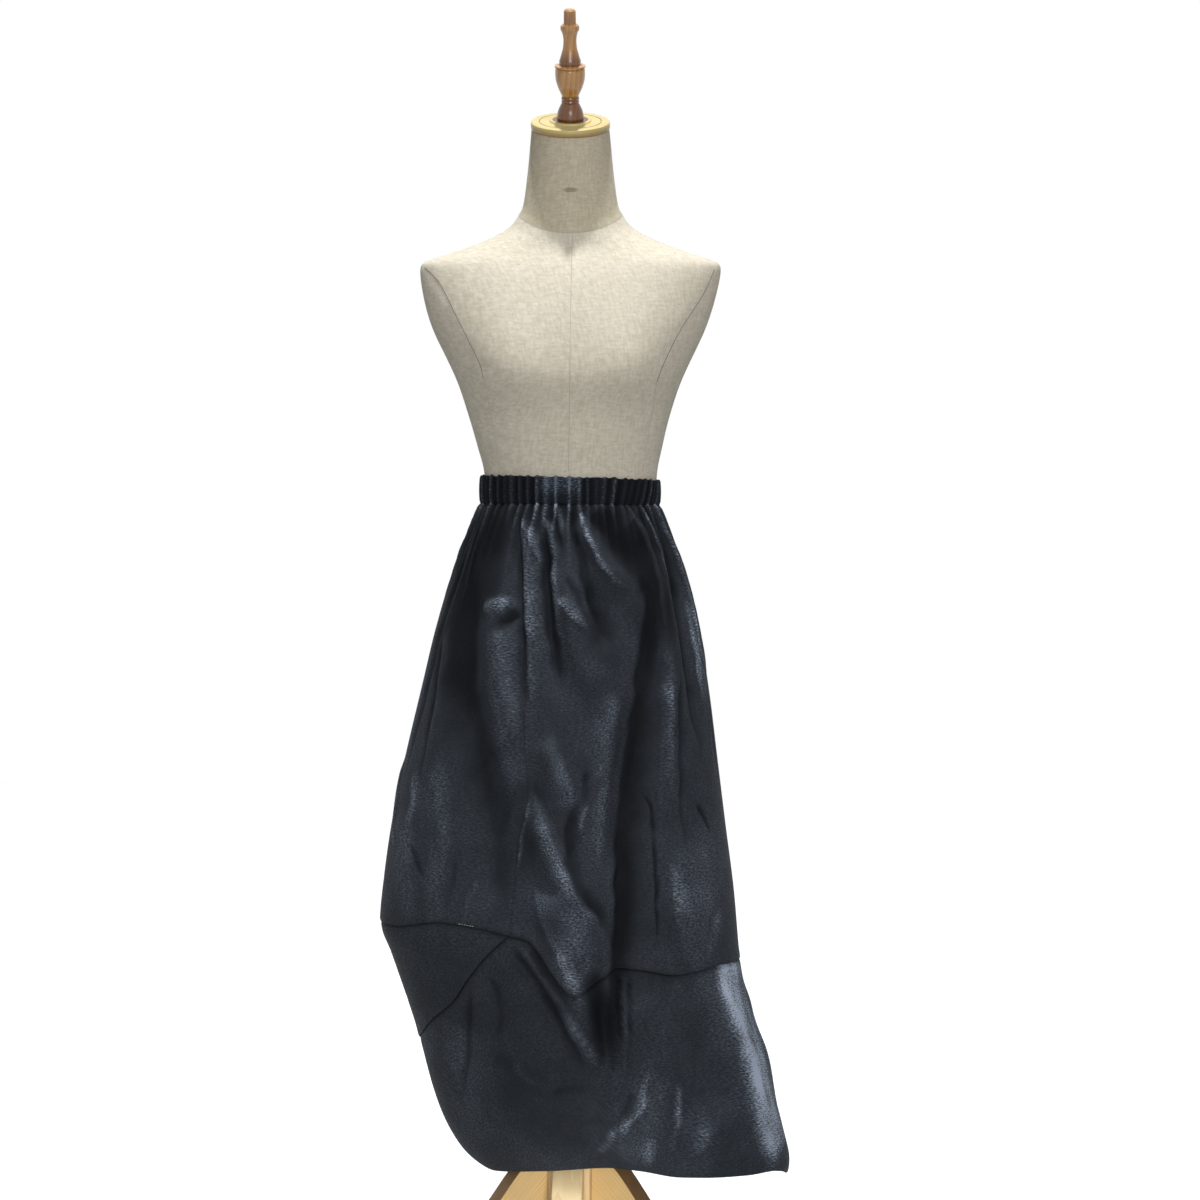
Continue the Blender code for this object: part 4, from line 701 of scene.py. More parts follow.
def folded(points, normals, folds):
    """How far the folds lift each point of the unfolded skirt, and the painted light and shade laid on it
    there.
    """
    straight = points.reshape(-1, 3)
    outwards = normals.reshape(-1, 3)
    total = np.zeros((len(straight), 2))
    waves = [slow_waves(straight, seed, *WANDER_WAVES) for seed in WANDER_SEEDS]
    wandering = straight + WANDER * np.stack(waves, axis=-1)
    patches = slow_waves(straight * PATCH_STRETCH, PATCH_SEED, *PATCH_WAVES, PATCH_COUNT)
    patchy = np.clip(1.0 + PATCH_DEPTH * patches, *PATCH_RANGE)
    for line, left_width, right_width, power, fades, lift, painted_shading in folds:
        crease = power > FOLD_POWER
        places = wandering if crease else straight
        reach = FOLD_REACH * max(left_width, right_width)
        inside = (places > line.min(0) - reach) & (places < line.max(0) + reach)
        near = np.flatnonzero(inside.all(axis=1))
        if not len(near):
            continue
        starts = line[:-1]
        runs = line[1:] - starts
        lengths = np.maximum(np.linalg.norm(runs, axis=1), 1e-6)
        offset = places[near][:, None, :] - starts
        part = np.clip((offset * runs).sum(-1) / lengths**2, 0.0, 1.0)
        gap = offset - part[..., None] * runs
        nearest = np.argmin((gap**2).sum(-1), axis=-1)
        row = np.arange(len(near))
        gap = gap[row, nearest]
        part = part[row, nearest]
        way = runs[nearest] / lengths[nearest][:, None]
        right = (np.cross(outwards[near], way) * gap).sum(-1) > 0.0
        run = (np.concatenate([[0.0], np.cumsum(lengths)])[nearest] + part * lengths[nearest]) / lengths.sum()
        edge = np.clip(np.minimum(run / fades[0], (1.0 - run) / fades[1]), 0.0, 1.0)
        width = np.where(right, right_width, left_width)
        if crease:
            width = width * (CREASE_TAPER + (1.0 - CREASE_TAPER) * edge)
        away = np.linalg.norm(gap, axis=-1) / width
        fade = edge * edge * (3.0 - 2.0 * edge)
        total[near, 0] += lift * fade * np.exp(-(away ** power))
        # Painted light and shade along the crease, patchy where it is light
        if painted_shading:
            left_power, right_power = painted_shading_powers(left_width, right_width)
            shown = np.exp(-(away ** np.where(right, right_power, left_power)))
            total[near, 1] += painted_shading * fade * shown * (patchy[near] if painted_shading > 0.0 else 1.0)
    total = total.reshape(points.shape[:-1] + (2,))
    return total[..., 0], total[..., 1]


def seam_angle(seam, ring):
    """The angle of a front seam at each ring number."""
    around = np.zeros(len(ring))
    for _ in range(SEAM_ROUNDS):
        height = skirt_point(around, ring)[:, 2]
        around = angle_of("front", smooth_value(seam, height), ring)
    return around


def yoke_rings(around):
    return ring_at_height(around, smooth_value(YOKE_SEAM, np.degrees(around)))


# Gathers and puckers: small ridges that start at a seam and die away from it

def irregular_ridges(count, seed, width_range, length_range, rise_range):
    """Ridges spaced unevenly all round: angle, half width in radians, length and rise of each."""
    draw = np.random.default_rng(seed)
    steps = draw.uniform(0.5, 1.5, count)
    places = (np.cumsum(steps) - 0.5 * steps) / steps.sum() * 2.0 * math.pi - math.pi
    half_widths = 2.0 * math.pi / count * draw.uniform(*width_range, count)
    lengths = draw.uniform(*length_range, count)
    rises = draw.uniform(*rise_range, count)
    return np.stack([places, half_widths, lengths, rises], axis=-1)


GATHERS = irregular_ridges(*GATHER_RIDGES)
PUCKERS = irregular_ridges(*PUCKER_RIDGES)


def ridge_rise(ridges, around, distance):
    """How far uneven ridges stand out at each angle and distance from the seam that they start at."""
    total = np.zeros(around.shape)
    for place, half_width, length, rise in ridges:
        turn = (around - place + math.pi) % (2.0 * math.pi) - math.pi
        near = (np.abs(turn) < RIDGE_REACH[0] * half_width) & (distance < RIDGE_REACH[1] * length)
        run = (distance[near] / length) ** RIDGE_POWER
        total[near] += rise * np.exp(-((turn[near] / half_width) ** 2) - run)
    return total


# Meshes

def quad_mesh(name, points, quads):
    mesh = bpy.data.meshes.new(name)
    mesh.from_pydata(points.tolist(), [], quads.tolist())
    return mesh


def add_values(mesh, name, values):
    layer = mesh.attributes.new(name, "FLOAT", "POINT")
    layer.data.foreach_set("value", np.ascontiguousarray(values, np.float32).ravel())


def add_vectors(mesh, name, values):
    layer = mesh.attributes.new(name, "FLOAT_VECTOR", "POINT")
    layer.data.foreach_set("vector", np.ascontiguousarray(values, np.float32).ravel())


def add_map(mesh, name, flat_places):
    """A UV map in metres from one flat place for each vertex."""
    corners = np.empty(len(mesh.loops), np.int32)
    mesh.loops.foreach_get("vertex_index", corners)
    layer = mesh.uv_layers.new(name=name)
    layer.data.foreach_set("uv", np.ascontiguousarray(flat_places[corners], np.float32).ravel())


def finish_piece(name, mesh, finish, replaced=(), sharp=50.0):
    """Puts a finished mesh in the scene with its material, on the part's one body."""
    mesh.materials.clear()
    mesh.materials.append(finish)
    mesh.shade_smooth()
    mesh.set_sharp_from_angle(angle=math.radians(sharp))
    item = bpy.data.objects.new(name, mesh)
    bpy.context.scene.collection.objects.link(item)
    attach(item, "root")
    if replaced:
        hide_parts(*replaced)
    return item


def running_length(points, axis):
    """The length run so far along one axis of a grid of points."""
    steps = np.linalg.norm(np.diff(points, axis=axis), axis=-1)
    start = np.zeros_like(np.take(steps, [0], axis=axis))
    return np.concatenate([start, np.cumsum(steps, axis=axis)], axis=axis)


def trimmed(points):
    """A grid of points with its four edges drawn in by half the seam gap."""
    result = points.copy()
    half = 0.5 * SEAM_GAP
    for axis in (0, 1):
        rows = np.moveaxis(result, axis, 0)
        first = rows[1] - rows[0]
        last = rows[-2] - rows[-1]
        for edge, way in ((0, first), (-1, last)):
            length = np.linalg.norm(way, axis=-1, keepdims=True)
            rows[edge] = rows[edge] + np.where(length > half, way / np.maximum(length, half), 0.0) * half
    return result


def shell_quads(rows, columns):
    """The faces of a closed wall over a grid: outside, inside and border, all facing out of the wall."""
    numbers = np.arange(rows * columns).reshape(rows, columns)
    a, b, c, d = numbers[:-1, :-1], numbers[:-1, 1:], numbers[1:, 1:], numbers[1:, :-1]
    outside = np.stack([a, d, c, b], axis=-1).reshape(-1, 4)
    inside = np.stack([a, b, c, d], axis=-1).reshape(-1, 4) + rows * columns
    border = np.concatenate([numbers[0, :], numbers[1:, -1], numbers[-1, -2::-1], numbers[-2:0:-1, 0]])
    after = np.roll(border, -1)
    rim = np.stack([border, after, after + rows * columns, border + rows * columns], axis=-1)
    return np.concatenate([outside, inside, rim])


def stepped(length, pitch):
    """Shares from 0 to 1 along a length, about a pitch apart, with finer steps near both ends."""
    steps = np.array(EDGE_STEPS) / length
    middle = np.linspace(0.0, 1.0, max(int(round(length / pitch)), LEAST_STEPS) + 1)
    clear = EDGE_CLEAR * steps[-1]
    middle = middle[(middle > clear) & (middle < 1.0 - clear)]
    return np.concatenate([[0.0], steps, middle, 1.0 - steps[::-1], [1.0]])


SEWN_LINES = []


def cloth_piece(name, around, ring, edges, finish, replaced):
    """A closed thin wall of folded cloth. Its edges are named, top and foot: waist, yoke or hem."""
    base = skirt_point(around, ring)
    normals = skirt_normal(around, ring)
    rise, painted_shading = folded(base, normals, FULL_FOLDS if edges[0] == "waist" else LOWER_FOLDS)
    down = running_length(base, 0)
    across = running_length(base, 1)
    from_foot = down[-1:] - down
    from_sides = np.minimum(across, across[:, -1:] - across)
    lip = smooth_value(YOKE_LIP, np.degrees(around))
    top, foot = edges
    if top == "waist":
        gathers = ridge_rise(GATHERS, around, down)
        rise = rise + gathers - GATHER_SINK * np.exp(-down / GATHER_SINK_RUN)
        # Painted highlights on the gathers, painted shade between them, and a painted glint on the front
        painted_shading = painted_shading + GATHER_SHADING * (gathers - GATHER_EVEN) * np.exp(-down / GATHER_SHADING_RUN)
        aside = (base[..., 0] - GLINT_X) / GLINT_WIDTH
        painted_shading = painted_shading + GLINT_HIGHLIGHT * gathers * np.exp(-(aside**4) - down / GLINT_RUN) * (base[..., 1] < 0.0)
    if top == "yoke":
        sunk = UNDER_LIP_SHARE * lip * np.exp(-((down / UNDER_LIP_RUN) ** 2))
        rise = rise - sunk + ridge_rise(PUCKERS, around, down)
        # Painted shade just under the upper cloth's lip
        painted_shading = painted_shading - LIP_SHADE * np.exp(-((down / LIP_SHADE_RUN) ** 2))
    if foot == "yoke":
        raised = LIP_SHARE * lip * np.exp(-((from_foot / LIP_RUN) ** 2))
        rise = rise + raised + ridge_rise(PUCKERS, around, from_foot)
    seam_edges = [from_sides, down] + ([from_foot] if foot != "hem" else [])
    for distance in seam_edges:
        rise = rise - SEAM_DIP * np.exp(-((distance / SEAM_DIP_WIDTH) ** 2))
    outer = trimmed(base + rise[..., None] * normals)
    tuck = {"yoke": SEAM_TUCK, "waist": WAIST_TUCK}[top]
    outer[0] += tuck * unit(outer[0] - outer[1]) - SEAM_TUCK * normals[0]
    outer[:, 0] += SEAM_TUCK * (unit(outer[:, 0] - outer[:, 1]) - SIDE_TUCK_SHARE * normals[:, 0])
    inner = outer - CLOTH_WALL * grid_normal(outer)
    if foot == "yoke" and top == "waist":
        SEWN_LINES.append(outer[-3] + STITCH_PROUD * normals[-3])
    points = np.concatenate([outer.reshape(-1, 3), inner.reshape(-1, 3)])
    mesh = quad_mesh(name, points, shell_quads(*around.shape))
    flat = np.stack([across - across[:, :1], -down], axis=-1).reshape(-1, 2)
    add_map(mesh, "cloth", np.concatenate([flat, flat]))
    # The painted light and shade go to the material as an attribute
    add_values(mesh, "painted_shading", np.concatenate([painted_shading.ravel(), painted_shading.ravel()]))
    return finish_piece(name, mesh, finish, replaced)


# Materials

def add_node(tree, kind, inputs=None, **settings):
    """A node with its settings, and its inputs set or linked."""
    node = tree.nodes.new(kind)
    for key, value in settings.items():
        setattr(node, key, value)
    for key, value in (inputs or {}).items():
        if isinstance(value, bpy.types.NodeSocket):
            tree.links.new(value, node.inputs[key])
        else:
            node.inputs[key].default_value = value
    return node


def maths(tree, operation, *values):
    """The result of one math node on numbers or sockets."""
    return add_node(tree, "ShaderNodeMath", dict(enumerate(values)), operation=operation).outputs[0]


def plus(tree, *values):
    return maths(tree, "ADD", *values)


def minus(tree, *values):
    return maths(tree, "SUBTRACT", *values)


def times(tree, *values):
    return maths(tree, "MULTIPLY", *values)


def mixed(tree, share, first, second, blend="MIX"):
    """Two colours or sockets mixed by a share."""
    node = add_node(tree, "ShaderNodeMix", data_type="RGBA", blend_type=blend)
    for index, value in ((0, share), (6, first), (7, second)):
        if isinstance(value, bpy.types.NodeSocket):
            tree.links.new(value, node.inputs[index])
        else:
            node.inputs[index].default_value = value
    return node.outputs[2]


def spread(tree, value, low, high, start=0.0, end=1.0):
    """A value stretched from one range to another, and held inside it."""
    return add_node(tree, "ShaderNodeMapRange", {0: value, 1: low, 2: high, 3: start, 4: end}).outputs[0]


def new_group(name, inputs, outputs):
    """An empty shader node group with a place, numbers as inputs and outputs, and its two ends."""
    tree = bpy.data.node_groups.new(name, "ShaderNodeTree")
    tree.interface.new_socket("Place", in_out="INPUT", socket_type="NodeSocketVector")
    for title, value in inputs.items():
        tree.interface.new_socket(title, in_out="INPUT", socket_type="NodeSocketFloat").default_value = value
    for title in outputs:
        tree.interface.new_socket(title, in_out="OUTPUT", socket_type="NodeSocketFloat")
    return tree, tree.nodes.new("NodeGroupInput").outputs, tree.nodes.new("NodeGroupOutput").inputs


def stretched(tree, vector, scale):
    return add_node(tree, "ShaderNodeMapping", {"Vector": vector, "Scale": scale}).outputs[0]


def noise(tree, vector, scale, detail=2.0, roughness=0.5):
    inputs = {"Vector": vector, "Scale": scale, "Detail": detail, "Roughness": roughness}
    return add_node(tree, "ShaderNodeTexNoise", inputs).outputs[0]


def bands(tree, vector, scale, distortion, direction, profile="SIN", **more):
    """Wavy bands across one direction. Further inputs of the node are named in more."""
    inputs = {"Vector": vector, "Scale": scale, "Distortion": distortion}
    inputs.update({key.replace("_", " "): value for key, value in more.items()})
    node = add_node(tree, "ShaderNodeTexWave", inputs, bands_direction=direction, wave_profile=profile)
    return node.outputs["Fac"]


def weave_group():
    """Threads both ways and short uneven dashes along the weft, on flat places in metres."""
    tree, given, out = new_group("weave", {"Thread Scale": 400.0, "Dash Scale": 200.0}, ("Threads", "Dashes"))
    warp = bands(tree, given["Place"], given["Thread Scale"], 1.0, "X")
    weft = bands(tree, given["Place"], given["Thread Scale"], 1.6, "Y")
    tree.links.new(plus(tree, times(tree, warp, 0.4), times(tree, weft, 0.6)), out["Threads"])
    dashes = noise(tree, stretched(tree, given["Place"], (1.0, 2.4, 1.0)), given["Dash Scale"], 3.0, 0.8)
    tree.links.new(spread(tree, dashes, 0.33, 0.67), out["Dashes"])
    return tree


def grain_group():
    """Wood grain that runs along X of the given place: masks of dark grain and of fine pores."""
    scales = {"Ring Scale": 60.0, "Pore Scale": 700.0}
    tree, given, out = new_group("timber_grain", scales, ("Grain", "Pores"))
    bent = noise(tree, stretched(tree, given["Place"], (2.0, 9.0, 9.0)), 2.2, 2.0)
    drawn_out = stretched(tree, given["Place"], (0.05, 1.0, 1.0))
    rings = bands(tree, drawn_out, given["Ring Scale"], 5.0, "Z", profile="SAW", Detail=2.0, Detail_Scale=1.2,
                  Phase_Offset=times(tree, bent, 9.0))
    tree.links.new(rings, out["Grain"])
    pores = noise(tree, stretched(tree, given["Place"], (0.035, 1.0, 1.0)), given["Pore Scale"], 3.0, 0.65)
    tree.links.new(spread(tree, pores, 0.4, 0.66), out["Pores"])
    return tree


# The crepe's clouds, weight of its painted light and shade, power and range of levels; the band's painted lit
# patch;
# specks of lint; the neck's mark
CREPE_CLOUDS = 11.0
CREPE_PAINTED_SHADING = 1.13
CREPE_POWER = 2.5
CREPE_LEVELS = (-1.7, 2.6)
BAND_LIT_X = -0.014
BAND_LIT_EDGE = (0.02, 0.034)
BAND_LIT_HEIGHTS = (1.09, 1.104)
BAND_LIT_LEVELS = (1.2, 2.3)
LINT_SCALE = 55.0
LINT_RADIUS = 0.034
LINT_BARE_SHARE = 0.8
NECK_MARK = (0.0005, 1.501)
WEAVE = weave_group()
GRAIN = grain_group()


def new_material(name, colour, roughness, **fixed):
    """A material with its node tree and its Principled shader, with even values set on its own sockets."""
    made = bpy.data.materials.new(name)
    made.use_nodes = True
    made.diffuse_color = (*colour, 1.0)
    shader = made.node_tree.nodes["Principled BSDF"]
    shader.inputs["Base Color"].default_value = (*colour, 1.0)
    shader.inputs["Roughness"].default_value = roughness
    for key, value in fixed.items():
        shader.inputs[key.replace("_", " ")].default_value = value
    return made, made.node_tree, shader


def object_place(tree):
    return add_node(tree, "ShaderNodeTexCoord").outputs["Object"]


def attribute_of(tree, name, output="Fac"):
    return add_node(tree, "ShaderNodeAttribute", attribute_name=name).outputs[output]


def split_place(tree, place):
    return add_node(tree, "ShaderNodeSeparateXYZ", {0: place}).outputs


def even(tree, shader, name, low, high, value):
    """Links one value of the shader, such as its roughness, to a socket spread over a range."""
    tree.links.new(spread(tree, value, 0.0, 1.0, low, high), shader.inputs[name])


def bumped(tree, shader, height, strength, distance):
    bump = add_node(tree, "ShaderNodeBump", {"Height": height, "Strength": strength, "Distance": distance})
    tree.links.new(bump.outputs[0], shader.inputs["Normal"])


def black_crepe(name, base, lit_patch):
    """Blue-black satin-backed crepe: uneven weft dashes, painted light and shade, and specks of lint.

    The colour is the base times a power of the level, which adds up the painted light and shade, soft clouds
    and the dashes, which show more where it is painted light. The waistband has a painted lit patch on its
    front, which is strongest at its top.
    """
    made, tree, shader = new_material(name, base, 0.62, Specular_IOR_Level=0.03)
    place = add_node(tree, "ShaderNodeUVMap", uv_map="cloth").outputs[0]
    weave = add_node(tree, "ShaderNodeGroup", node_tree=WEAVE)
    tree.links.new(place, weave.inputs["Place"])
    cloudy = minus(tree, noise(tree, object_place(tree), CREPE_CLOUDS, 7.0, 0.74), 0.52)
    # The level starts from the painted light and shade on the piece
    level = plus(tree, times(tree, attribute_of(tree, "painted_shading"), CREPE_PAINTED_SHADING), times(tree, cloudy, 1.5))
    # A painted lit patch on the band's front
    if lit_patch:
        split = split_place(tree, object_place(tree))
        off = maths(tree, "ABSOLUTE", minus(tree, split[0], BAND_LIT_X))
        inside = spread(tree, off, *BAND_LIT_EDGE, 1.0, 0.0)
        front = spread(tree, split[1], -0.02, 0.0, 1.0, 0.0)
        upper = spread(tree, split[2], *BAND_LIT_HEIGHTS, *BAND_LIT_LEVELS)
        level = plus(tree, level, times(tree, times(tree, inside, front), upper))
    dashes = spread(tree, weave.outputs["Dashes"], 0.0, 1.0, -0.68, 0.6)
    lit = spread(tree, level, -0.5, 1.1, 0.25, 2.6)
    level = plus(tree, level, times(tree, dashes, lit))
    held = maths(tree, "MINIMUM", maths(tree, "MAXIMUM", level, CREPE_LEVELS[0]), CREPE_LEVELS[1])
    factor = maths(tree, "POWER", CREPE_POWER, held)
    tint = add_node(tree, "ShaderNodeCombineColor", {0: factor, 1: factor, 2: factor}).outputs[0]
    colour = mixed(tree, 1.0, tint, (*base, 1.0), "MULTIPLY")
    spots = {"Vector": place, "Scale": LINT_SCALE, "Randomness": 1.0}
    cells = add_node(tree, "ShaderNodeTexVoronoi", spots).outputs
    draw = add_node(tree, "ShaderNodeSeparateColor", {0: cells["Color"]}).outputs[0]
    shown = maths(tree, "GREATER_THAN", draw, LINT_BARE_SHARE)
    speck = times(tree, maths(tree, "LESS_THAN", cells["Distance"], LINT_RADIUS), shown)
    colour = mixed(tree, times(tree, speck, 0.35), colour, (0.25, 0.27, 0.3, 1.0))
    tree.links.new(colour, shader.inputs["Base Color"])
    even(tree, shader, "Roughness", 0.68, 0.54, weave.outputs["Dashes"])
    height = plus(tree, times(tree, weave.outputs["Threads"], 0.35), weave.outputs["Dashes"])
    bumped(tree, shader, height, 0.45, 0.0006)
    return made


def plain_linen(name, shade):
    """Cream linen with slubs, darker flecks and a fine plain weave, times an even colour: white on the torso,
    painted shade on the neck's cover.
    """
    cream = (0.76, 0.69, 0.55)
    made, tree, shader = new_material(name, cream, 0.92, Specular_IOR_Level=0.2, Sheen_Weight=0.15)
    place = object_place(tree)
    weave = add_node(tree, "ShaderNodeGroup", node_tree=WEAVE)
    split = split_place(tree, place)
    turned = {0: plus(tree, split[0], split[1]), 1: split[2], 2: minus(tree, split[0], split[1])}
    flat = add_node(tree, "ShaderNodeCombineXYZ", turned).outputs[0]
    tree.links.new(flat, weave.inputs["Place"])
    weave.inputs["Thread Scale"].default_value = 320.0
    weave.inputs["Dash Scale"].default_value = 210.0
    slub = noise(tree, stretched(tree, flat, (1.0, 5.0, 1.0)), 60.0, 3.0, 0.6)
    warp_slub = noise(tree, stretched(tree, flat, (5.0, 1.0, 1.0)), 60.0, 3.0, 0.6)
    thick = spread(tree, plus(tree, slub, warp_slub), 0.75, 1.25)
    colour = mixed(tree, thick, (0.797, 0.752, 0.634, 1.0), (0.608, 0.558, 0.444, 1.0))
    colour = mixed(tree, times(tree, weave.outputs["Dashes"], 0.4), colour, (0.6, 0.53, 0.4, 1.0))
    flecks = noise(tree, stretched(tree, flat, (1.0, 4.0, 1.0)), 150.0, 1.0)
    colour = mixed(tree, spread(tree, flecks, 0.7, 0.76, 0.0, 0.55), colour, (0.34, 0.27, 0.18, 1.0))
    across = times(tree, minus(tree, split[0], NECK_MARK[0]), 105.0)
    along = times(tree, minus(tree, split[2], NECK_MARK[1]), 300.0)
    squares = [maths(tree, "POWER", maths(tree, "ABSOLUTE", way), 2.0) for way in (across, along)]
    mark = plus(tree, *squares)
    front = maths(tree, "LESS_THAN", split[1], 0.0)
    rub = times(tree, spread(tree, mark, 0.5, 1.3, 0.6, 0.0), front)
    colour = mixed(tree, rub, colour, (0.2, 0.17, 0.13, 1.0))
    # The even colour, which on the neck's cover is a painted shade
    colour = mixed(tree, 1.0, colour, (*shade, 1.0), "MULTIPLY")
    tree.links.new(colour, shader.inputs["Base Color"])
    even(tree, shader, "Roughness", 0.95, 0.84, thick)
    height = plus(tree, weave.outputs["Threads"], times(tree, thick, 0.6))
    bumped(tree, shader, height, 0.3, 0.0005)
    return made


# Columns: wood, pale, dark, roughness, ring_scale, coat, tones, attribute, lean.
WOODS = (
    # The cap's dark tint round the finial's foot is a painted shadow
    ("cap_wood", (0.64, 0.54, 0.22), (0.54, 0.42, 0.15), 0.34, 55.0, 0.15,
     (("tone", (0.6, 0.44, 0.34)), ("darkened", (0.22, 0.13, 0.09))), "grain", 0.0),
    ("finial_wood", (0.62, 0.33, 0.095), (0.34, 0.15, 0.038), 0.22, 45.0, 0.35,
     (("darkened", (0.36, 0.24, 0.15)),), "grain", 84.0),
    # The pale tint: raw wood on the front board's top edge, painted light on its sides
    ("stand_boards", (0.86, 0.61, 0.28), (0.69, 0.46, 0.18), 0.62, 78.0, 0.0,
     (("tone", (0.36, 0.28, 0.22)), ("raw_and_lit", (1.34, 1.5, 1.95))), "grain", -46.0),
    ("frame_wood", (0.86, 0.66, 0.38), (0.68, 0.47, 0.23), 0.6, 30.0, 0.0, (), None, 90.0),
)


def timber(name, pale, dark, roughness, ring_scale, coat, tones, attribute, lean):
    """Wood in two tones along its grain, which runs along X of the place or of the piece's own attribute.

    It leans from X by some degrees. Each of tones names a mask on the piece and the wood's tint under it.
    """
    made, tree, shader = new_material(name, pale, roughness, Coat_Roughness=0.12)
    shader.inputs["Coat Weight"].default_value = coat
    place = attribute_of(tree, attribute, "Vector") if attribute else object_place(tree)
    turn = (0.0, math.radians(lean), 0.0)
    place = add_node(tree, "ShaderNodeMapping", {"Vector": place, "Rotation": turn}).outputs[0]
    grain = add_node(tree, "ShaderNodeGroup", node_tree=GRAIN)
    tree.links.new(place, grain.inputs["Place"])
    grain.inputs["Ring Scale"].default_value = ring_scale
    streaks = spread(tree, grain.outputs["Grain"], 0.1, 1.0, 0.0, 0.75)
    colour = mixed(tree, streaks, (*pale, 1.0), (*dark, 1.0))
    colour = mixed(tree, times(tree, grain.outputs["Pores"], 0.45), colour, (*dark, 1.0))
    for mask_name, tint in tones:
        tinted = mixed(tree, 1.0, colour, (*tint, 1.0), "MULTIPLY")
        colour = mixed(tree, attribute_of(tree, mask_name), colour, tinted)
    tree.links.new(colour, shader.inputs["Base Color"])
    even(tree, shader, "Roughness", roughness, roughness + 0.12, grain.outputs["Pores"])
    bumped(tree, shader, minus(tree, grain.outputs["Grain"], grain.outputs["Pores"]), 0.2, 0.0003)
    return made


def brushed_steel():
    """Grey steel with fine lines round the collar."""
    made, tree, shader = new_material("brushed_steel", (0.52, 0.53, 0.54), 0.34, Metallic=1.0)
    lines = noise(tree, stretched(tree, object_place(tree), (1.0, 1.0, 60.0)), 30.0, 3.0)
    tree.links.new(spread(tree, lines, 0.3, 0.7, 0.26, 0.46), shader.inputs["Roughness"])
    colour = mixed(tree, lines, (0.44, 0.45, 0.46, 1.0), (0.6, 0.61, 0.62, 1.0))
    tree.links.new(colour, shader.inputs["Base Color"])
    bumped(tree, shader, lines, 0.1, 0.0002)
    return made


def dull_thread(name, colour):
    """Matt thread of one colour with a fine twist."""
    made, tree, shader = new_material(name, colour, 0.85, Specular_IOR_Level=0.2)
    twist = noise(tree, object_place(tree), 1400.0, 1.0)
    dark = tuple(0.6 * value for value in colour)
    tree.links.new(mixed(tree, twist, (*colour, 1.0), (*dark, 1.0)), shader.inputs["Base Color"])
    bumped(tree, shader, twist, 0.4, 0.0002)
    return made


# The skirt

def left_seam(ring):
    return seam_angle(LEFT_FRONT_SEAM, ring)


def right_seam(ring):
    return seam_angle(RIGHT_FRONT_SEAM, ring)


def back_from_left(ring):
    return np.full(len(ring), -math.pi)


def back_from_right(ring):
    return np.full(len(ring), math.pi)


def upper_grid(left_edge, right_edge, width, length, pitch):
    """Angles and ring numbers of an upper panel between two edges, each a function of the ring number."""
    ends = [edge(np.array([YOKE_RING], float))[0] for edge in (left_edge, right_edge)]
    shares = stepped(width, pitch)
    at_yoke = ends[0] + (ends[1] - ends[0]) * shares
    last_rings = yoke_rings(at_yoke)
    fractions = stepped(length, pitch)
    left = left_edge(fractions * last_rings[0])
    right = right_edge(fractions * last_rings[-1])
    left[-1], right[-1] = at_yoke[0], at_yoke[-1]
    around = left[:, None] + (right - left)[:, None] * shares
    return around, fractions[:, None] * last_rings[None, :]


def build_upper_panels(finish):
    """The left, front and right panels from the waist to the yoke seam, met at the two front seams."""
    panels = (
        ("cloth_upper_left", back_from_left, left_seam, 0.55, 0.0031, "skirt_upper_left"),
        ("cloth_upper_front", left_seam, right_seam, 0.2, 0.0021, "skirt_upper_front"),
        ("cloth_upper_right", right_seam, back_from_right, 0.46, 0.003, "skirt_upper_right"),
    )
    for name, left_edge, right_edge, width, pitch, node in panels:
        around, ring = upper_grid(left_edge, right_edge, width, UPPER_LENGTH, pitch)
        cloth_piece(name, around, ring, ("waist", "yoke"), finish, (node,))


def gusset_ends():
    """The angles at which the gusset starts and ends."""
    return math.radians(GUSSET_SEAM[0][0]), left_seam(np.array([YOKE_RING], float))[0]


def gusset_angles():
    first, last = gusset_ends()
    return first + (last - first) * stepped(GUSSET_GRID[0], GUSSET_PITCH)


def gusset_foot(angles):
    """The ring numbers of the gusset's slanting seam, kept just below the yoke where they meet."""
    foot = ring_at_height(angles, smooth_value(GUSSET_SEAM, np.degrees(angles)))
    return np.maximum(foot, yoke_rings(angles) + GUSSET_LEAST_RINGS)


def build_gusset(finish):
    """The three-cornered piece between the yoke seam and the slanting seam."""
    angles = gusset_angles()
    top = yoke_rings(angles)
    ring = top + (gusset_foot(angles) - top) * stepped(GUSSET_GRID[1], GUSSET_PITCH)[:, None]
    around = np.broadcast_to(angles, ring.shape).copy()
    item = cloth_piece("cloth_lower_gusset", around, ring, ("yoke", "yoke"), finish, ("skirt_lower_gusset",))


def build_lower_panel(finish):
    """The lower skirt, one piece round the body, with its hem turned under."""
    first, last = gusset_ends()
    rest = -math.pi + 2.0 * math.pi * stepped(LOWER_GRID[0], LOWER_PITCH)
    clear = math.radians(0.2)
    rest = rest[(rest < first - clear) | (rest > last + clear)]
    angles = np.sort(np.concatenate([rest, gusset_angles()]))
    top = yoke_rings(angles)
    under_gusset = (angles > first - 1e-9) & (angles < last + 1e-9)
    top[under_gusset] = gusset_foot(angles[under_gusset])
    shares = stepped(LOWER_GRID[1], LOWER_PITCH)[:, None]
    turned = HEM_RING + np.array(HEM_TURN)[:, None] + np.zeros(len(angles))
    ring = np.concatenate([top + (HEM_RING - top) * shares, turned])
    around = np.broadcast_to(angles, ring.shape).copy()
    item = cloth_piece("cloth_lower_main", around, ring, ("yoke", "hem"), finish, ("skirt_lower_main",))


def band_height(around):
    middle = 0.5 * (BAND_TOP_LEFT + BAND_TOP_RIGHT)
    return middle + 0.5 * (BAND_TOP_RIGHT - BAND_TOP_LEFT) * np.sin(around)


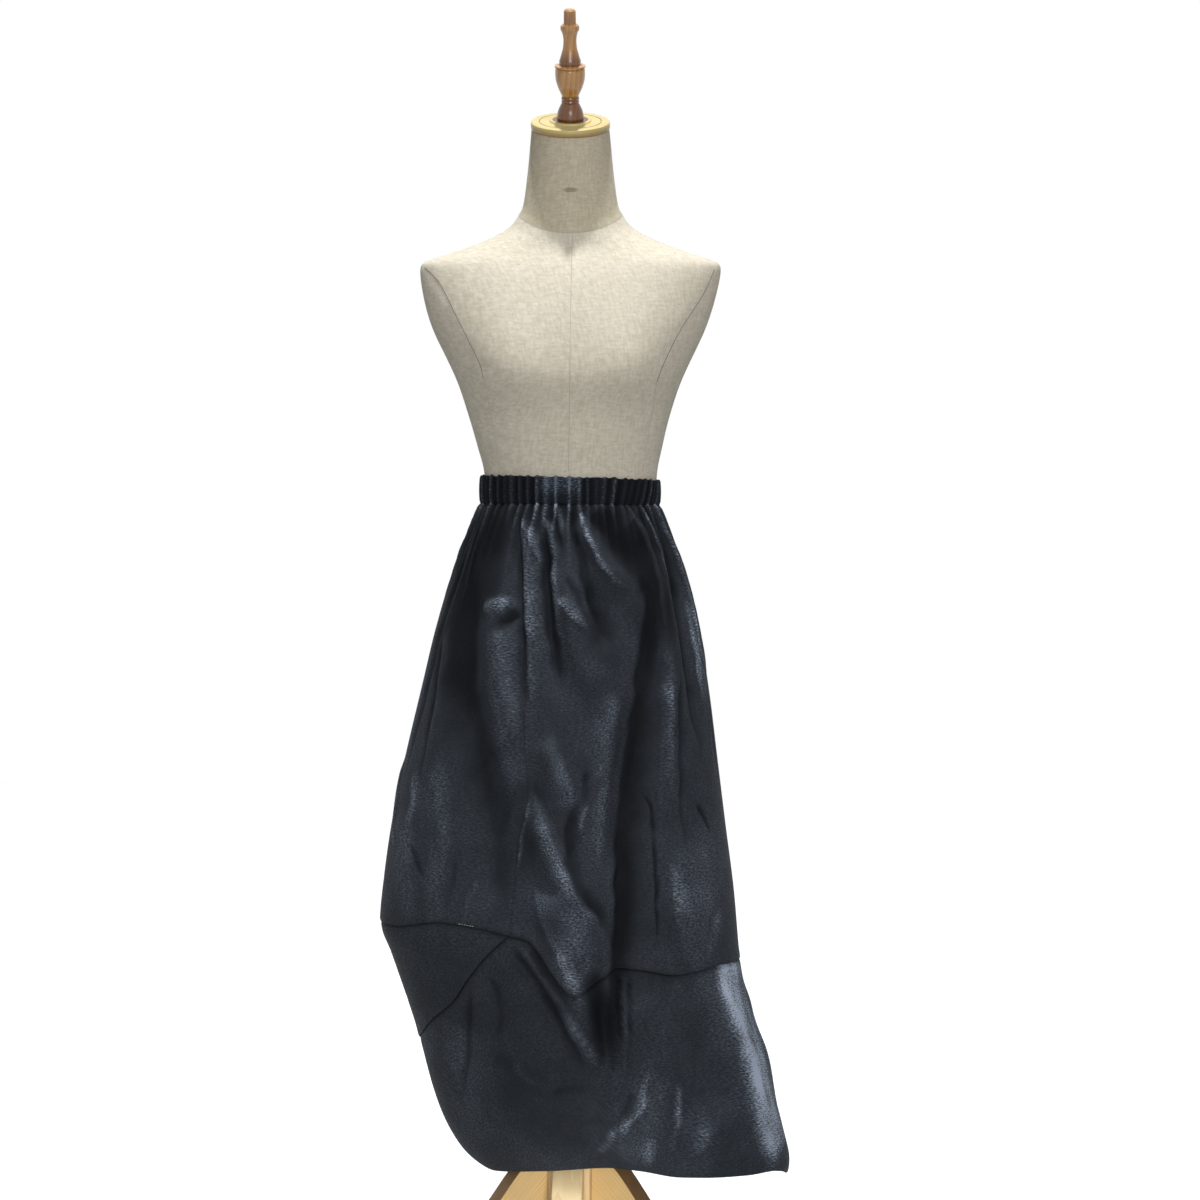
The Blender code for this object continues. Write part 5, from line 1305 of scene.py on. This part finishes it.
def build_waistband(finish):
    """The elastic casing: a strip folded over at the top, in uneven gathers that lean on the right."""
    around = np.linspace(-math.pi, math.pi, BAND_COLUMNS, endpoint=False)
    foot = skirt_point(around, np.zeros(BAND_COLUMNS))
    foot[:, 2] += SEAM_GAP
    outward = unit(np.stack([np.sin(around), -np.cos(around), np.zeros(BAND_COLUMNS)], axis=-1))
    top_z = band_height(around)
    leaning = BAND_LEAN * np.clip((np.sin(around) - BAND_LEAN_FROM) / BAND_LEAN_OVER, 0.0, 1.0)
    lean = np.where(np.cos(around) > 0.0, leaning, 0.0)
    draw = np.random.default_rng(GATHER_SEED + 1)
    places = np.linspace(-math.pi, math.pi, BAND_UNEVEN_PLACES)
    uneven = np.interp(around, places, draw.uniform(-BAND_UNEVEN, BAND_UNEVEN, BAND_UNEVEN_PLACES))
    loops = []
    painted_shadings = []
    for share, depth in BAND_SECTION:
        turned = around - lean * share
        ridges = ridge_rise(GATHERS, turned, np.zeros(BAND_COLUMNS))
        ridges = BAND_RISE * (ridges / ridges.max()) ** BAND_PEAK_POWER
        press = 1.0
        for place, reach, strength in BAND_PRESSED:
            press -= strength * math.exp(-(((share - place) / reach) ** 2))
        sunk = BAND_FOOT_SINK * math.exp(-((share / BAND_FOOT_RUN) ** 2))
        puff = BAND_PUFF * math.sin(math.pi * share) - sunk
        out = (ridges - BAND_SINK) * press + puff - depth
        level = foot + out[:, None] * outward
        ruffle = uneven + BAND_RUFFLE * (ridges / BAND_RISE - 0.5)
        level[:, 2] = foot[:, 2] + share * (top_z + ruffle * share**4 - foot[:, 2])
        level[:, 2] += 0.5 * BAND_RUFFLE * (1.0 - share) ** 6 * (1.0 - ridges / BAND_RISE)
        loops.append(level)
        # Painted highlights on the gathers and the top fold, painted shade between the gathers
        painted_shadings.append(BAND_SHADING * (ridges - BAND_EVEN) + (BAND_TOP_HIGHLIGHT if share > BAND_TOP_SHARE else 0.0))
    outer = np.stack(loops)
    outer_count = outer.shape[0] * outer.shape[1]
    closed = np.concatenate([outer, outer[:, :1]], axis=1)
    normals = unit(np.cross(np.gradient(closed, axis=1), np.gradient(closed, axis=0)))[:, :-1]
    inner = outer - BAND_WALL * normals
    numbers = np.arange(outer_count).reshape(outer.shape[:2])
    after = np.roll(numbers, -1, axis=1)
    outside = np.stack([numbers[:-1], after[:-1], after[1:], numbers[1:]], axis=-1).reshape(-1, 4)
    inside = outside[:, ::-1] + outer_count
    both = np.stack([numbers, after, after + outer_count, numbers + outer_count], axis=-1)
    points = np.concatenate([outer.reshape(-1, 3), inner.reshape(-1, 3)])
    quads = np.concatenate([outside, inside, both[0, :, ::-1], both[-1]])
    mesh = quad_mesh("cloth_waistband", points, quads)
    lengths = running_length(outer, 1)
    runs = np.diff(np.array(BAND_SECTION) * (BAND_DEPTH, 1.0), axis=0)
    heights = np.concatenate([[0.0], np.cumsum(np.hypot(*runs.T))])
    flat = np.stack([lengths, np.broadcast_to(heights[:, None], lengths.shape)], axis=-1).reshape(-1, 2)
    add_map(mesh, "cloth", np.concatenate([flat, flat]))
    painted_shading = np.stack(painted_shadings).ravel()
    add_values(mesh, "painted_shading", np.concatenate([painted_shading, painted_shading]))
    item = finish_piece("cloth_waistband", mesh, finish, ("skirt_waistband",))


# The form

def lofted_mesh(name, loops):
    """A solid through closed loops of the same number of points, closed by a fan at each end."""
    count = len(loops[0])
    points = np.concatenate(list(loops) + [[np.mean(loops[0], axis=0)], [np.mean(loops[-1], axis=0)]])
    faces = []
    for level in range(len(loops) - 1):
        for column in range(count):
            a = level * count + column
            b = level * count + (column + 1) % count
            faces.append((a, b, b + count, a + count))
    foot_centre = len(points) - 2
    top = (len(loops) - 1) * count
    for column in range(count):
        after = (column + 1) % count
        faces.append((foot_centre, after, column))
        faces.append((foot_centre + 1, top + column, top + after))
    mesh = bpy.data.meshes.new(name)
    mesh.from_pydata(points.tolist(), [], faces)
    return mesh


def form_loop(row, around):
    """One ring of the form, from its row of a table of sections."""
    middle_x, half_width, side_z, front_y, front_z, back_y, back_z = row
    left_x, right_x = middle_x - half_width, middle_x + half_width
    measures = np.array([left_x, side_z, right_x, side_z, front_y, front_z, back_y, back_z])
    return ring_point(np.broadcast_to(measures, (len(around), 8)), around)


def bust(points):
    """The form's chest lifted into two soft mounds."""
    across, up, down = BUST_SPREAD
    centre_x, centre_z = BUST_CENTRE
    drop = points[:, 2] - centre_z
    tall = np.where(drop > 0.0, up, down)
    rise = np.zeros(len(points))
    for side in (-1.0, 1.0):
        rise += np.exp(-(((points[:, 0] - side * centre_x) / across) ** 2) - (drop / tall) ** 2)
    lifted = points.copy()
    lifted[:, 1] -= BUST_RISE * rise * (points[:, 1] < 0.0)
    return lifted


def tilted_circle(radius, height, around):
    """A circle round the neck cap's axis, at a height along it from the underside of the cap."""
    across = np.array([1.0, 0.0, 0.0])
    forward = np.array([0.0, -math.cos(NECK_TILT), -math.sin(NECK_TILT)])
    axis = np.array([0.0, -math.sin(NECK_TILT), math.cos(NECK_TILT)])
    centre = np.array(NECK_TOP_CENTRE) + height * axis
    return centre + radius * (np.sin(around)[:, None] * across + np.cos(around)[:, None] * forward)


def build_form(linen, neck_linen_painted_shade):
    """The linen covers of the torso, with its shoulders rounded, and of the neck, the neck's in an even
    painted shade.
    """
    around = np.linspace(-math.pi, math.pi, FORM_COLUMNS, endpoint=False)
    rows = in_metres(TORSO_RINGS)
    place = np.linspace(0.0, len(rows) - 1.0, TORSO_LOOPS)
    loops = np.stack([bust(form_loop(row, around)) for row in along_rows(rows, place)])
    first, last = SHOULDER_ROWS
    start, end = SHOULDER_SOFTNESS
    by_row = np.clip((place - first) / start, 0.0, 1.0) * np.clip((last - place) / end, 0.0, 1.0)
    by_angle = np.clip(1.0 + SHOULDER_AT_SIDES - np.abs(np.sin(around)), SHOULDER_AT_SIDES, 1.0)
    rounding = SHOULDER_STRENGTH * by_row[1:-1, None, None] * by_angle[:, None]
    for _ in range(SHOULDER_ROUNDING):
        loops[1:-1] += rounding * (loops[2:] + loops[:-2] - 2.0 * loops[1:-1])
    torso = lofted_mesh("form_cover_torso", list(loops))
    item = finish_piece("form_cover_torso", torso, linen, ("form_torso",))
    neck_rows = along_rows(in_metres(NECK_RINGS), np.linspace(0.0, len(NECK_RINGS) - 1.0, NECK_LOOPS))
    neck_loops = [form_loop(row, around) for row in neck_rows]
    neck_loops.append(tilted_circle(NECK_TOP_RADIUS, -PIECE_GAP, around))
    neck = lofted_mesh("form_cover_neck", neck_loops)
    finish_piece("form_cover_neck", neck, neck_linen_painted_shade, ("form_neck",))
    return item


def thread_tree(name, sizes):
    """An empty geometry-node tree from a piece's edges to thread, with its given sizes and its curve."""
    tree = bpy.data.node_groups.new(name, "GeometryNodeTree")
    tree.interface.new_socket("Geometry", in_out="INPUT", socket_type="NodeSocketGeometry")
    for title in sizes:
        tree.interface.new_socket(title, in_out="INPUT", socket_type="NodeSocketFloat")
    tree.interface.new_socket("Finish", in_out="INPUT", socket_type="NodeSocketMaterial")
    tree.interface.new_socket("Geometry", in_out="OUTPUT", socket_type="NodeSocketGeometry")
    given = tree.nodes.new("NodeGroupInput").outputs
    return tree, given, add_node(tree, "GeometryNodeMeshToCurve", {"Mesh": given["Geometry"]}).outputs[0]


def finish_tree(tree, given, solid):
    """Ends a tree with the solid thread in its given material."""
    real = add_node(tree, "GeometryNodeRealizeInstances", {"Geometry": solid}).outputs[0]
    inputs = {"Geometry": real, "Material": given["Finish"]}
    coloured = add_node(tree, "GeometryNodeSetMaterial", inputs).outputs[0]
    tree.links.new(coloured, tree.nodes.new("NodeGroupOutput").inputs[0])
    return tree


def swept_tree():
    """Geometry nodes that turn every edge of a piece into a round thread."""
    tree, given, curve = thread_tree("round_thread", ("Radius",))
    sizes = {"Resolution": THREAD_SIDES, "Radius": given["Radius"]}
    ring = add_node(tree, "GeometryNodeCurvePrimitiveCircle", sizes).outputs[0]
    swept = {"Curve": curve, "Profile Curve": ring, "Fill Caps": True}
    return finish_tree(tree, given, add_node(tree, "GeometryNodeCurveToMesh", swept).outputs[0])


def stitch_tree():
    """Geometry nodes that set short stitches at an even pitch along every edge of a piece."""
    tree, given, curve = thread_tree("even_stitches", ("Pitch", "Length", "Radius"))
    even_places = add_node(tree, "GeometryNodeResampleCurve", {"Curve": curve, "Length": given["Pitch"]},
                           mode="LENGTH").outputs[0]
    tangent = add_node(tree, "GeometryNodeInputTangent").outputs[0]
    turn = add_node(tree, "FunctionNodeAlignRotationToVector", {"Vector": tangent}, axis="Z").outputs[0]
    sizes = {"Vertices": THREAD_SIDES, "Radius": given["Radius"], "Depth": given["Length"]}
    stitch = add_node(tree, "GeometryNodeMeshCylinder", sizes).outputs["Mesh"]
    placed = {"Points": even_places, "Instance": stitch, "Rotation": turn}
    return finish_tree(tree, given, add_node(tree, "GeometryNodeInstanceOnPoints", placed).outputs[0])


def shaped_by(tree, name, points, closed, values):
    """The plain mesh that a geometry-node tree makes of a line of points."""
    count = len(points)
    edges = [(one, (one + 1) % count) for one in range(count if closed else count - 1)]
    line = bpy.data.meshes.new(name)
    line.from_pydata([tuple(point) for point in points], edges, [])
    item = bpy.data.objects.new(name, line)
    bpy.context.scene.collection.objects.link(item)
    modifier = item.modifiers.new("shape", "NODES")
    modifier.node_group = tree
    for socket in tree.interface.items_tree:
        if socket.item_type == "SOCKET" and socket.in_out == "INPUT" and socket.name in values:
            modifier[socket.identifier] = values[socket.name]
    graph = bpy.context.evaluated_depsgraph_get()
    made = bpy.data.meshes.new_from_object(item.evaluated_get(graph))
    item.modifiers.clear()
    bpy.data.objects.remove(item, do_unlink=True)
    made.name = name
    return made


def build_thread(tree, name, points, closed, thread, slot, **sizes):
    """A piece of thread along a line of points."""
    mesh = shaped_by(tree, name, points, closed, {**sizes, "Finish": thread})
    finish_piece(name, mesh, thread)


def points_hit(skin, starts, way):
    """Where straight lines from the starts first meet the skin; those that miss it are left out."""
    hits = [skin.ray_cast(Vector(start), Vector(way))[0] for start in starts]
    return [hit for hit in hits if hit]


def build_form_seams(torso, threads, tree):
    """Thin welts where the linen's panels meet: down the front and back, at the neck and the shoulders."""
    skin = BVHTree.FromObject(torso, bpy.context.evaluated_depsgraph_get())
    for facing in (-1.0, 1.0):
        for name, shade, path in FORM_SEAMS:
            if facing > 0.0:
                name = name.replace("form_seam", "form_back_seam")
            places = along_rows(path, np.linspace(0.0, len(path) - 1.0, WELT_SAMPLES))
            points = points_hit(skin, [(x, facing, z) for x, z in places], (0.0, -facing, 0.0))
            build_thread(tree, name, points, False, threads[shade], "form_linen", Radius=SEAM_WELT_RADIUS)
    around = np.linspace(-math.pi, math.pi, NECK_WELT_SAMPLES, endpoint=False)
    ring = form_loop(in_metres(TORSO_RINGS)[-1], around)
    build_thread(tree, "form_seam_neck", ring, True, threads["pale"], "form_linen", Radius=NECK_WELT_RADIUS)
    inner, outer, seam_y = SHOULDER_SEAM
    for side, side_name in ((-1.0, "left"), (1.0, "right")):
        places = np.linspace(inner, outer, SHOULDER_WELT_SAMPLES)
        starts = [(side * place, seam_y, ABOVE_ALL) for place in places]
        points = points_hit(skin, starts, (0.0, 0.0, -1.0))
        name = "form_seam_shoulder_" + side_name
        build_thread(tree, name, points, False, threads["pale"], "form_linen", Radius=SEAM_WELT_RADIUS)


def build_stitches(threads):
    """The row of stitches along the yoke seam, with one short run of pale thread that shows at the left."""
    tree = stitch_tree()
    sizes = {"Pitch": STITCH_PITCH, "Length": STITCH_LENGTH, "Radius": STITCH_RADIUS}
    for number, line in enumerate(SEWN_LINES, 1):
        name = f"yoke_stitches_{number}"
        build_thread(tree, name, line[2:-2], False, threads["black"], "skirt_cloth", **sizes)
    first = SEWN_LINES[0]
    low, high = SHOWN_STITCHES
    shown = first[(first[:, 0] > low) & (first[:, 0] < high) & (first[:, 1] < 0.0)]
    shown = shown - np.array([0.0, SHOWN_STITCH_PROUD, 0.0])
    build_thread(tree, "yoke_stitches_shown", shown, False, threads["pale"], "skirt_cloth", **sizes)


def build_turned(name, profile, finish, lift, replaced):
    """A piece turned on the neck cap's axis from its profile, with masks for its rim and groove and for its
    darker places.
    """
    shape = bmesh.new()
    rounded = [(0.0, profile[0][1])] + list(profile) + [(0.0, profile[-1][1])]
    points = [shape.verts.new((radius, 0.0, height)) for radius, height in rounded]
    edges = [shape.edges.new(pair) for pair in zip(points, points[1:])]
    bmesh.ops.spin(shape, geom=points + edges, cent=(0.0, 0.0, 0.0), axis=(0.0, 0.0, 1.0),
                   angle=2.0 * math.pi, steps=TURNED_SIDES, use_merge=True)
    bmesh.ops.remove_doubles(shape, verts=shape.verts, dist=1e-6)
    bmesh.ops.recalc_face_normals(shape, faces=shape.faces)
    shape.transform(Matrix.Translation((0.0, 0.0, lift)))
    local = np.array([tuple(vertex.co) for vertex in shape.verts])
    shape.transform(Matrix.Translation(NECK_TOP_CENTRE) @ Matrix.Rotation(NECK_TILT, 4, "X"))
    mesh = bpy.data.meshes.new(name)
    shape.to_mesh(mesh)
    shape.free()
    add_vectors(mesh, "grain", local)
    away = np.hypot(local[:, 0], local[:, 1])
    rim = ((away > CAP_RADIUS - CAP_RIM_DEPTH) & (local[:, 2] < 0.5 * CAP_THICKNESS)).astype(float)
    groove = (np.abs(away - CAP_GROOVE_RADIUS) < CAP_GROOVE_HALF).astype(float)
    add_values(mesh, "tone", np.clip(rim + groove, 0.0, 1.0))
    darkened = np.zeros(len(local))
    if lift:
        height = local[:, 2] - lift
        for low, high, softness, strength in FINIAL_DARK_STRETCHES:
            shown = np.clip((high - height) / softness, 0.0, 1.0) * (height > low - 0.0001)
            darkened = np.maximum(darkened, strength * shown)
    else:
        # On the cap: a painted shadow of the finial, all round its foot
        darkened = (away < CAP_SHADOW_RADIUS).astype(float)
    add_values(mesh, "darkened", darkened)
    finish_piece(name, mesh, finish, replaced, sharp=38.0)


def smooth_profile(profile, keep, pieces=4):
    """A turned profile rounded between its rows, with the rows numbered in keep left as corners."""
    rounded = []
    corners = [0] + [index for index in keep if 0 < index < len(profile) - 1] + [len(profile) - 1]
    for start, end in zip(corners, corners[1:]):
        rows = profile[start:end + 1]
        samples = along_rows(rows, np.linspace(0.0, len(rows) - 1.0, pieces * (len(rows) - 1) + 1))
        rounded += [tuple(row) for row in samples[:-1]]
    return rounded + [profile[-1]]


# The stand

def build_leg(number, finish):
    """One sawn board of the stand with softened edges, standing on its flat foot and heel."""
    samples = np.linspace(0.0, len(LEG_TOP) - 1.0, 4 * len(LEG_TOP) - 3)
    outline = [tuple(point) for point in along_rows(LEG_TOP, samples)] + list(LEG_UNDERSIDE)
    half = 0.5 * LEG_THICKNESS
    shape = bmesh.new()
    sides = [[shape.verts.new((reach, width, height)) for reach, height in outline]
             for width in (-half, half)]
    shape.faces.new(sides[0])
    shape.faces.new(sides[1][::-1])
    count = len(outline)
    for one in range(count):
        two = (one + 1) % count
        shape.faces.new((sides[0][one], sides[1][one], sides[1][two], sides[0][two]))
    bmesh.ops.recalc_face_normals(shape, faces=shape.faces)
    turning = [edge for edge in shape.edges if edge.calc_face_angle(0.0) > math.radians(35.0)]
    turning = [edge for edge in turning if min(vertex.co.x for vertex in edge.verts) > LEG_SHARP_FROM]
    bmesh.ops.bevel(shape, geom=turning, offset=LEG_BEVEL, segments=3, profile=0.5, affect="EDGES")
    bmesh.ops.triangulate(shape, faces=[face for face in shape.faces if len(face.verts) > 4])
    name = f"stand_board_{number}"
    mesh = bpy.data.meshes.new(name)
    shape.to_mesh(mesh)
    shape.free()
    local = np.array([tuple(vertex.co) for vertex in mesh.vertices])
    add_vectors(mesh, "grain", local + LEG_GRAIN_SHIFT * number)
    on_edge = np.abs(local[:, 1]) < half - 0.4 * LEG_BEVEL
    add_values(mesh, "tone", LEG_TOP_TONES[number - 1] * on_edge * (local[:, 2] > LEG_TONE_FROM))
    # The front board: raw pale wood on its top edge, and part of that paleness on its sides as painted light
    add_values(mesh, "raw_and_lit", (number == 1) * np.where(on_edge, 1.0, LEG_LIT_SIDES))
    turn = STAND_TURN - 0.5 * math.pi + 2.0 * math.pi * (number - 1) / LEG_COUNT
    mesh.transform(Matrix.Rotation(turn, 4, "Z"))
    finish_piece(name, mesh, finish, (f"stand_leg_{number}",), sharp=35.0)


def refinish(node, finish):
    """A better material on a node of the frame that is kept."""
    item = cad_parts[node]
    for place in item.material_slots:
        place.material = finish
    if not item.material_slots:
        item.data.materials.append(finish)


# The setting

def seen_directly(tree):
    """1 for a look from the camera, in a shiny surface or through glass, and 0 for light from a surface."""
    rays = add_node(tree, "ShaderNodeLightPath").outputs
    through = maths(tree, "MAXIMUM", rays["Is Glossy Ray"], rays["Is Transmission Ray"])
    return maths(tree, "MAXIMUM", rays["Is Camera Ray"], through)


def add_floor():
    """A pale floor that looks white and lights the form from below as a grey one would."""
    mesh = bpy.data.meshes.new("floor")
    corners = [(x * FLOOR_HALF, y * FLOOR_HALF, 0.0) for x, y in ((-1, -1), (1, -1), (1, 1), (-1, 1))]
    mesh.from_pydata(corners, [], [(0, 1, 2, 3)])
    made = bpy.data.materials.new("pale_floor")
    made.use_nodes = True
    tree = made.node_tree
    tree.nodes.remove(tree.nodes["Principled BSDF"])
    soft = add_node(tree, "ShaderNodeBsdfDiffuse", {"Color": FLOOR_SOFT}).outputs[0]
    pale = add_node(tree, "ShaderNodeBsdfDiffuse", {"Color": FLOOR_PALE}).outputs[0]
    glow = add_node(tree, "ShaderNodeEmission", {"Color": WHITE, "Strength": FLOOR_GLOW}).outputs[0]
    shown = add_node(tree, "ShaderNodeAddShader", {0: pale, 1: glow}).outputs[0]
    seen = seen_directly(tree)
    both = add_node(tree, "ShaderNodeMixShader", {0: seen, 1: soft, 2: shown}).outputs[0]
    tree.links.new(both, tree.nodes["Material Output"].inputs["Surface"])
    mesh.materials.append(made)
    floor = bpy.data.objects.new("floor", mesh)
    bpy.context.scene.collection.objects.link(floor)


def add_world():
    """An even white world, dimmer for the light that it gives than for a look at it."""
    world = bpy.data.worlds.new("studio")
    bpy.context.scene.world = world
    world.use_nodes = True
    tree = world.node_tree
    tree.nodes.clear()
    seen = seen_directly(tree)
    strength = spread(tree, seen, 0.0, 1.0, WORLD_STRENGTH, 1.0)
    inputs = {"Color": WHITE, "Strength": strength}
    sky = add_node(tree, "ShaderNodeBackground", inputs).outputs[0]
    tree.links.new(sky, add_node(tree, "ShaderNodeOutputWorld").inputs["Surface"])


def pointed_at(item, place, aim):
    """Puts a lamp or the camera in the scene, turned towards its aim."""
    item.location = place
    item.rotation_mode = "QUATERNION"
    item.rotation_quaternion = (aim - place).to_track_quat("-Z", "Y")
    bpy.context.scene.collection.objects.link(item)


def add_lights():
    """Round lamps at their angles round the skirt, all aimed at its middle."""
    for name, azimuth, elevation, size, power in LIGHTS:
        lamp = bpy.data.lights.new(name, "AREA")
        lamp.shape = "DISK"
        lamp.size = size
        lamp.energy = power
        turn, lift = math.radians(azimuth), math.radians(elevation)
        way = Vector((math.sin(turn) * math.cos(lift), -math.cos(turn) * math.cos(lift), math.sin(lift)))
        pointed_at(bpy.data.objects.new(name, lamp), LIGHT_AIM + LIGHT_DISTANCE * way, LIGHT_AIM)


def add_foot_light():
    """A narrow low lamp for the boards in the shade under the hem."""
    lamp = bpy.data.lights.new("foot", "SPOT")
    lamp.energy = FOOT_LIGHT_POWER
    lamp.spot_size = FOOT_LIGHT_ANGLE
    lamp.spot_blend = FOOT_LIGHT_BLEND
    lamp.shadow_soft_size = FOOT_LIGHT_SIZE
    pointed_at(bpy.data.objects.new("foot", lamp), FOOT_LIGHT_PLACE, FOOT_LIGHT_AIM)


def add_camera():
    lens = bpy.data.cameras.new("camera")
    lens.lens = CAMERA_LENS
    lens.sensor_width = CAMERA_SENSOR
    camera = bpy.data.objects.new("camera", lens)
    pointed_at(camera, CAMERA_PLACE, CAMERA_AIM)
    bpy.context.scene.camera = camera


def main():
    add_camera()
    add_floor()
    add_world()
    add_lights()
    add_foot_light()
    bpy.context.scene.view_settings.view_transform = "Standard"

    crepe = black_crepe("black_crepe", (0.036, 0.042, 0.052), False)
    band_crepe = black_crepe("band_crepe", (0.015, 0.018, 0.023), True)
    linen = plain_linen("linen_cover", (1.0, 1.0, 1.0))
    # The neck's cover is the same linen darkened by an even painted shade
    neck_linen_painted_shade = plain_linen("linen_neck_painted_shade", (0.87, 0.84, 0.77))
    threads = {
        "dark": dull_thread("grey_seam", (0.26, 0.255, 0.235)),
        "pale": dull_thread("pale_seam", (0.66, 0.62, 0.53)),
        "black": dull_thread("black_thread", (0.02, 0.022, 0.027)),
    }
    cap_wood, finial_wood, stand_wood, frame_wood = [timber(*wood) for wood in WOODS]
    steel = brushed_steel()

    build_upper_panels(crepe)
    build_gusset(crepe)
    build_lower_panel(crepe)
    build_waistband(band_crepe)
    build_stitches(threads)
    torso = build_form(linen, neck_linen_painted_shade)
    build_form_seams(torso, threads, swept_tree())
    build_turned("form_cap_disc", CAP_PROFILE, cap_wood, 0.0, ("form_neck_cap",))
    profile = [(radius / 1000.0, height / 1000.0) for radius, height in FINIAL_PROFILE]
    finial = smooth_profile(profile, FINIAL_CORNERS)
    build_turned("form_top_finial", finial, finial_wood, CAP_PROFILE[-1][1] + PIECE_GAP,
                 ("form_finial",))
    for number in range(1, LEG_COUNT + 1):
        build_leg(number, stand_wood)
    for node in ("form_base_plate", "stand_hub", "stand_pole"):
        refinish(node, frame_wood)
    refinish("stand_collar", steel)


main()
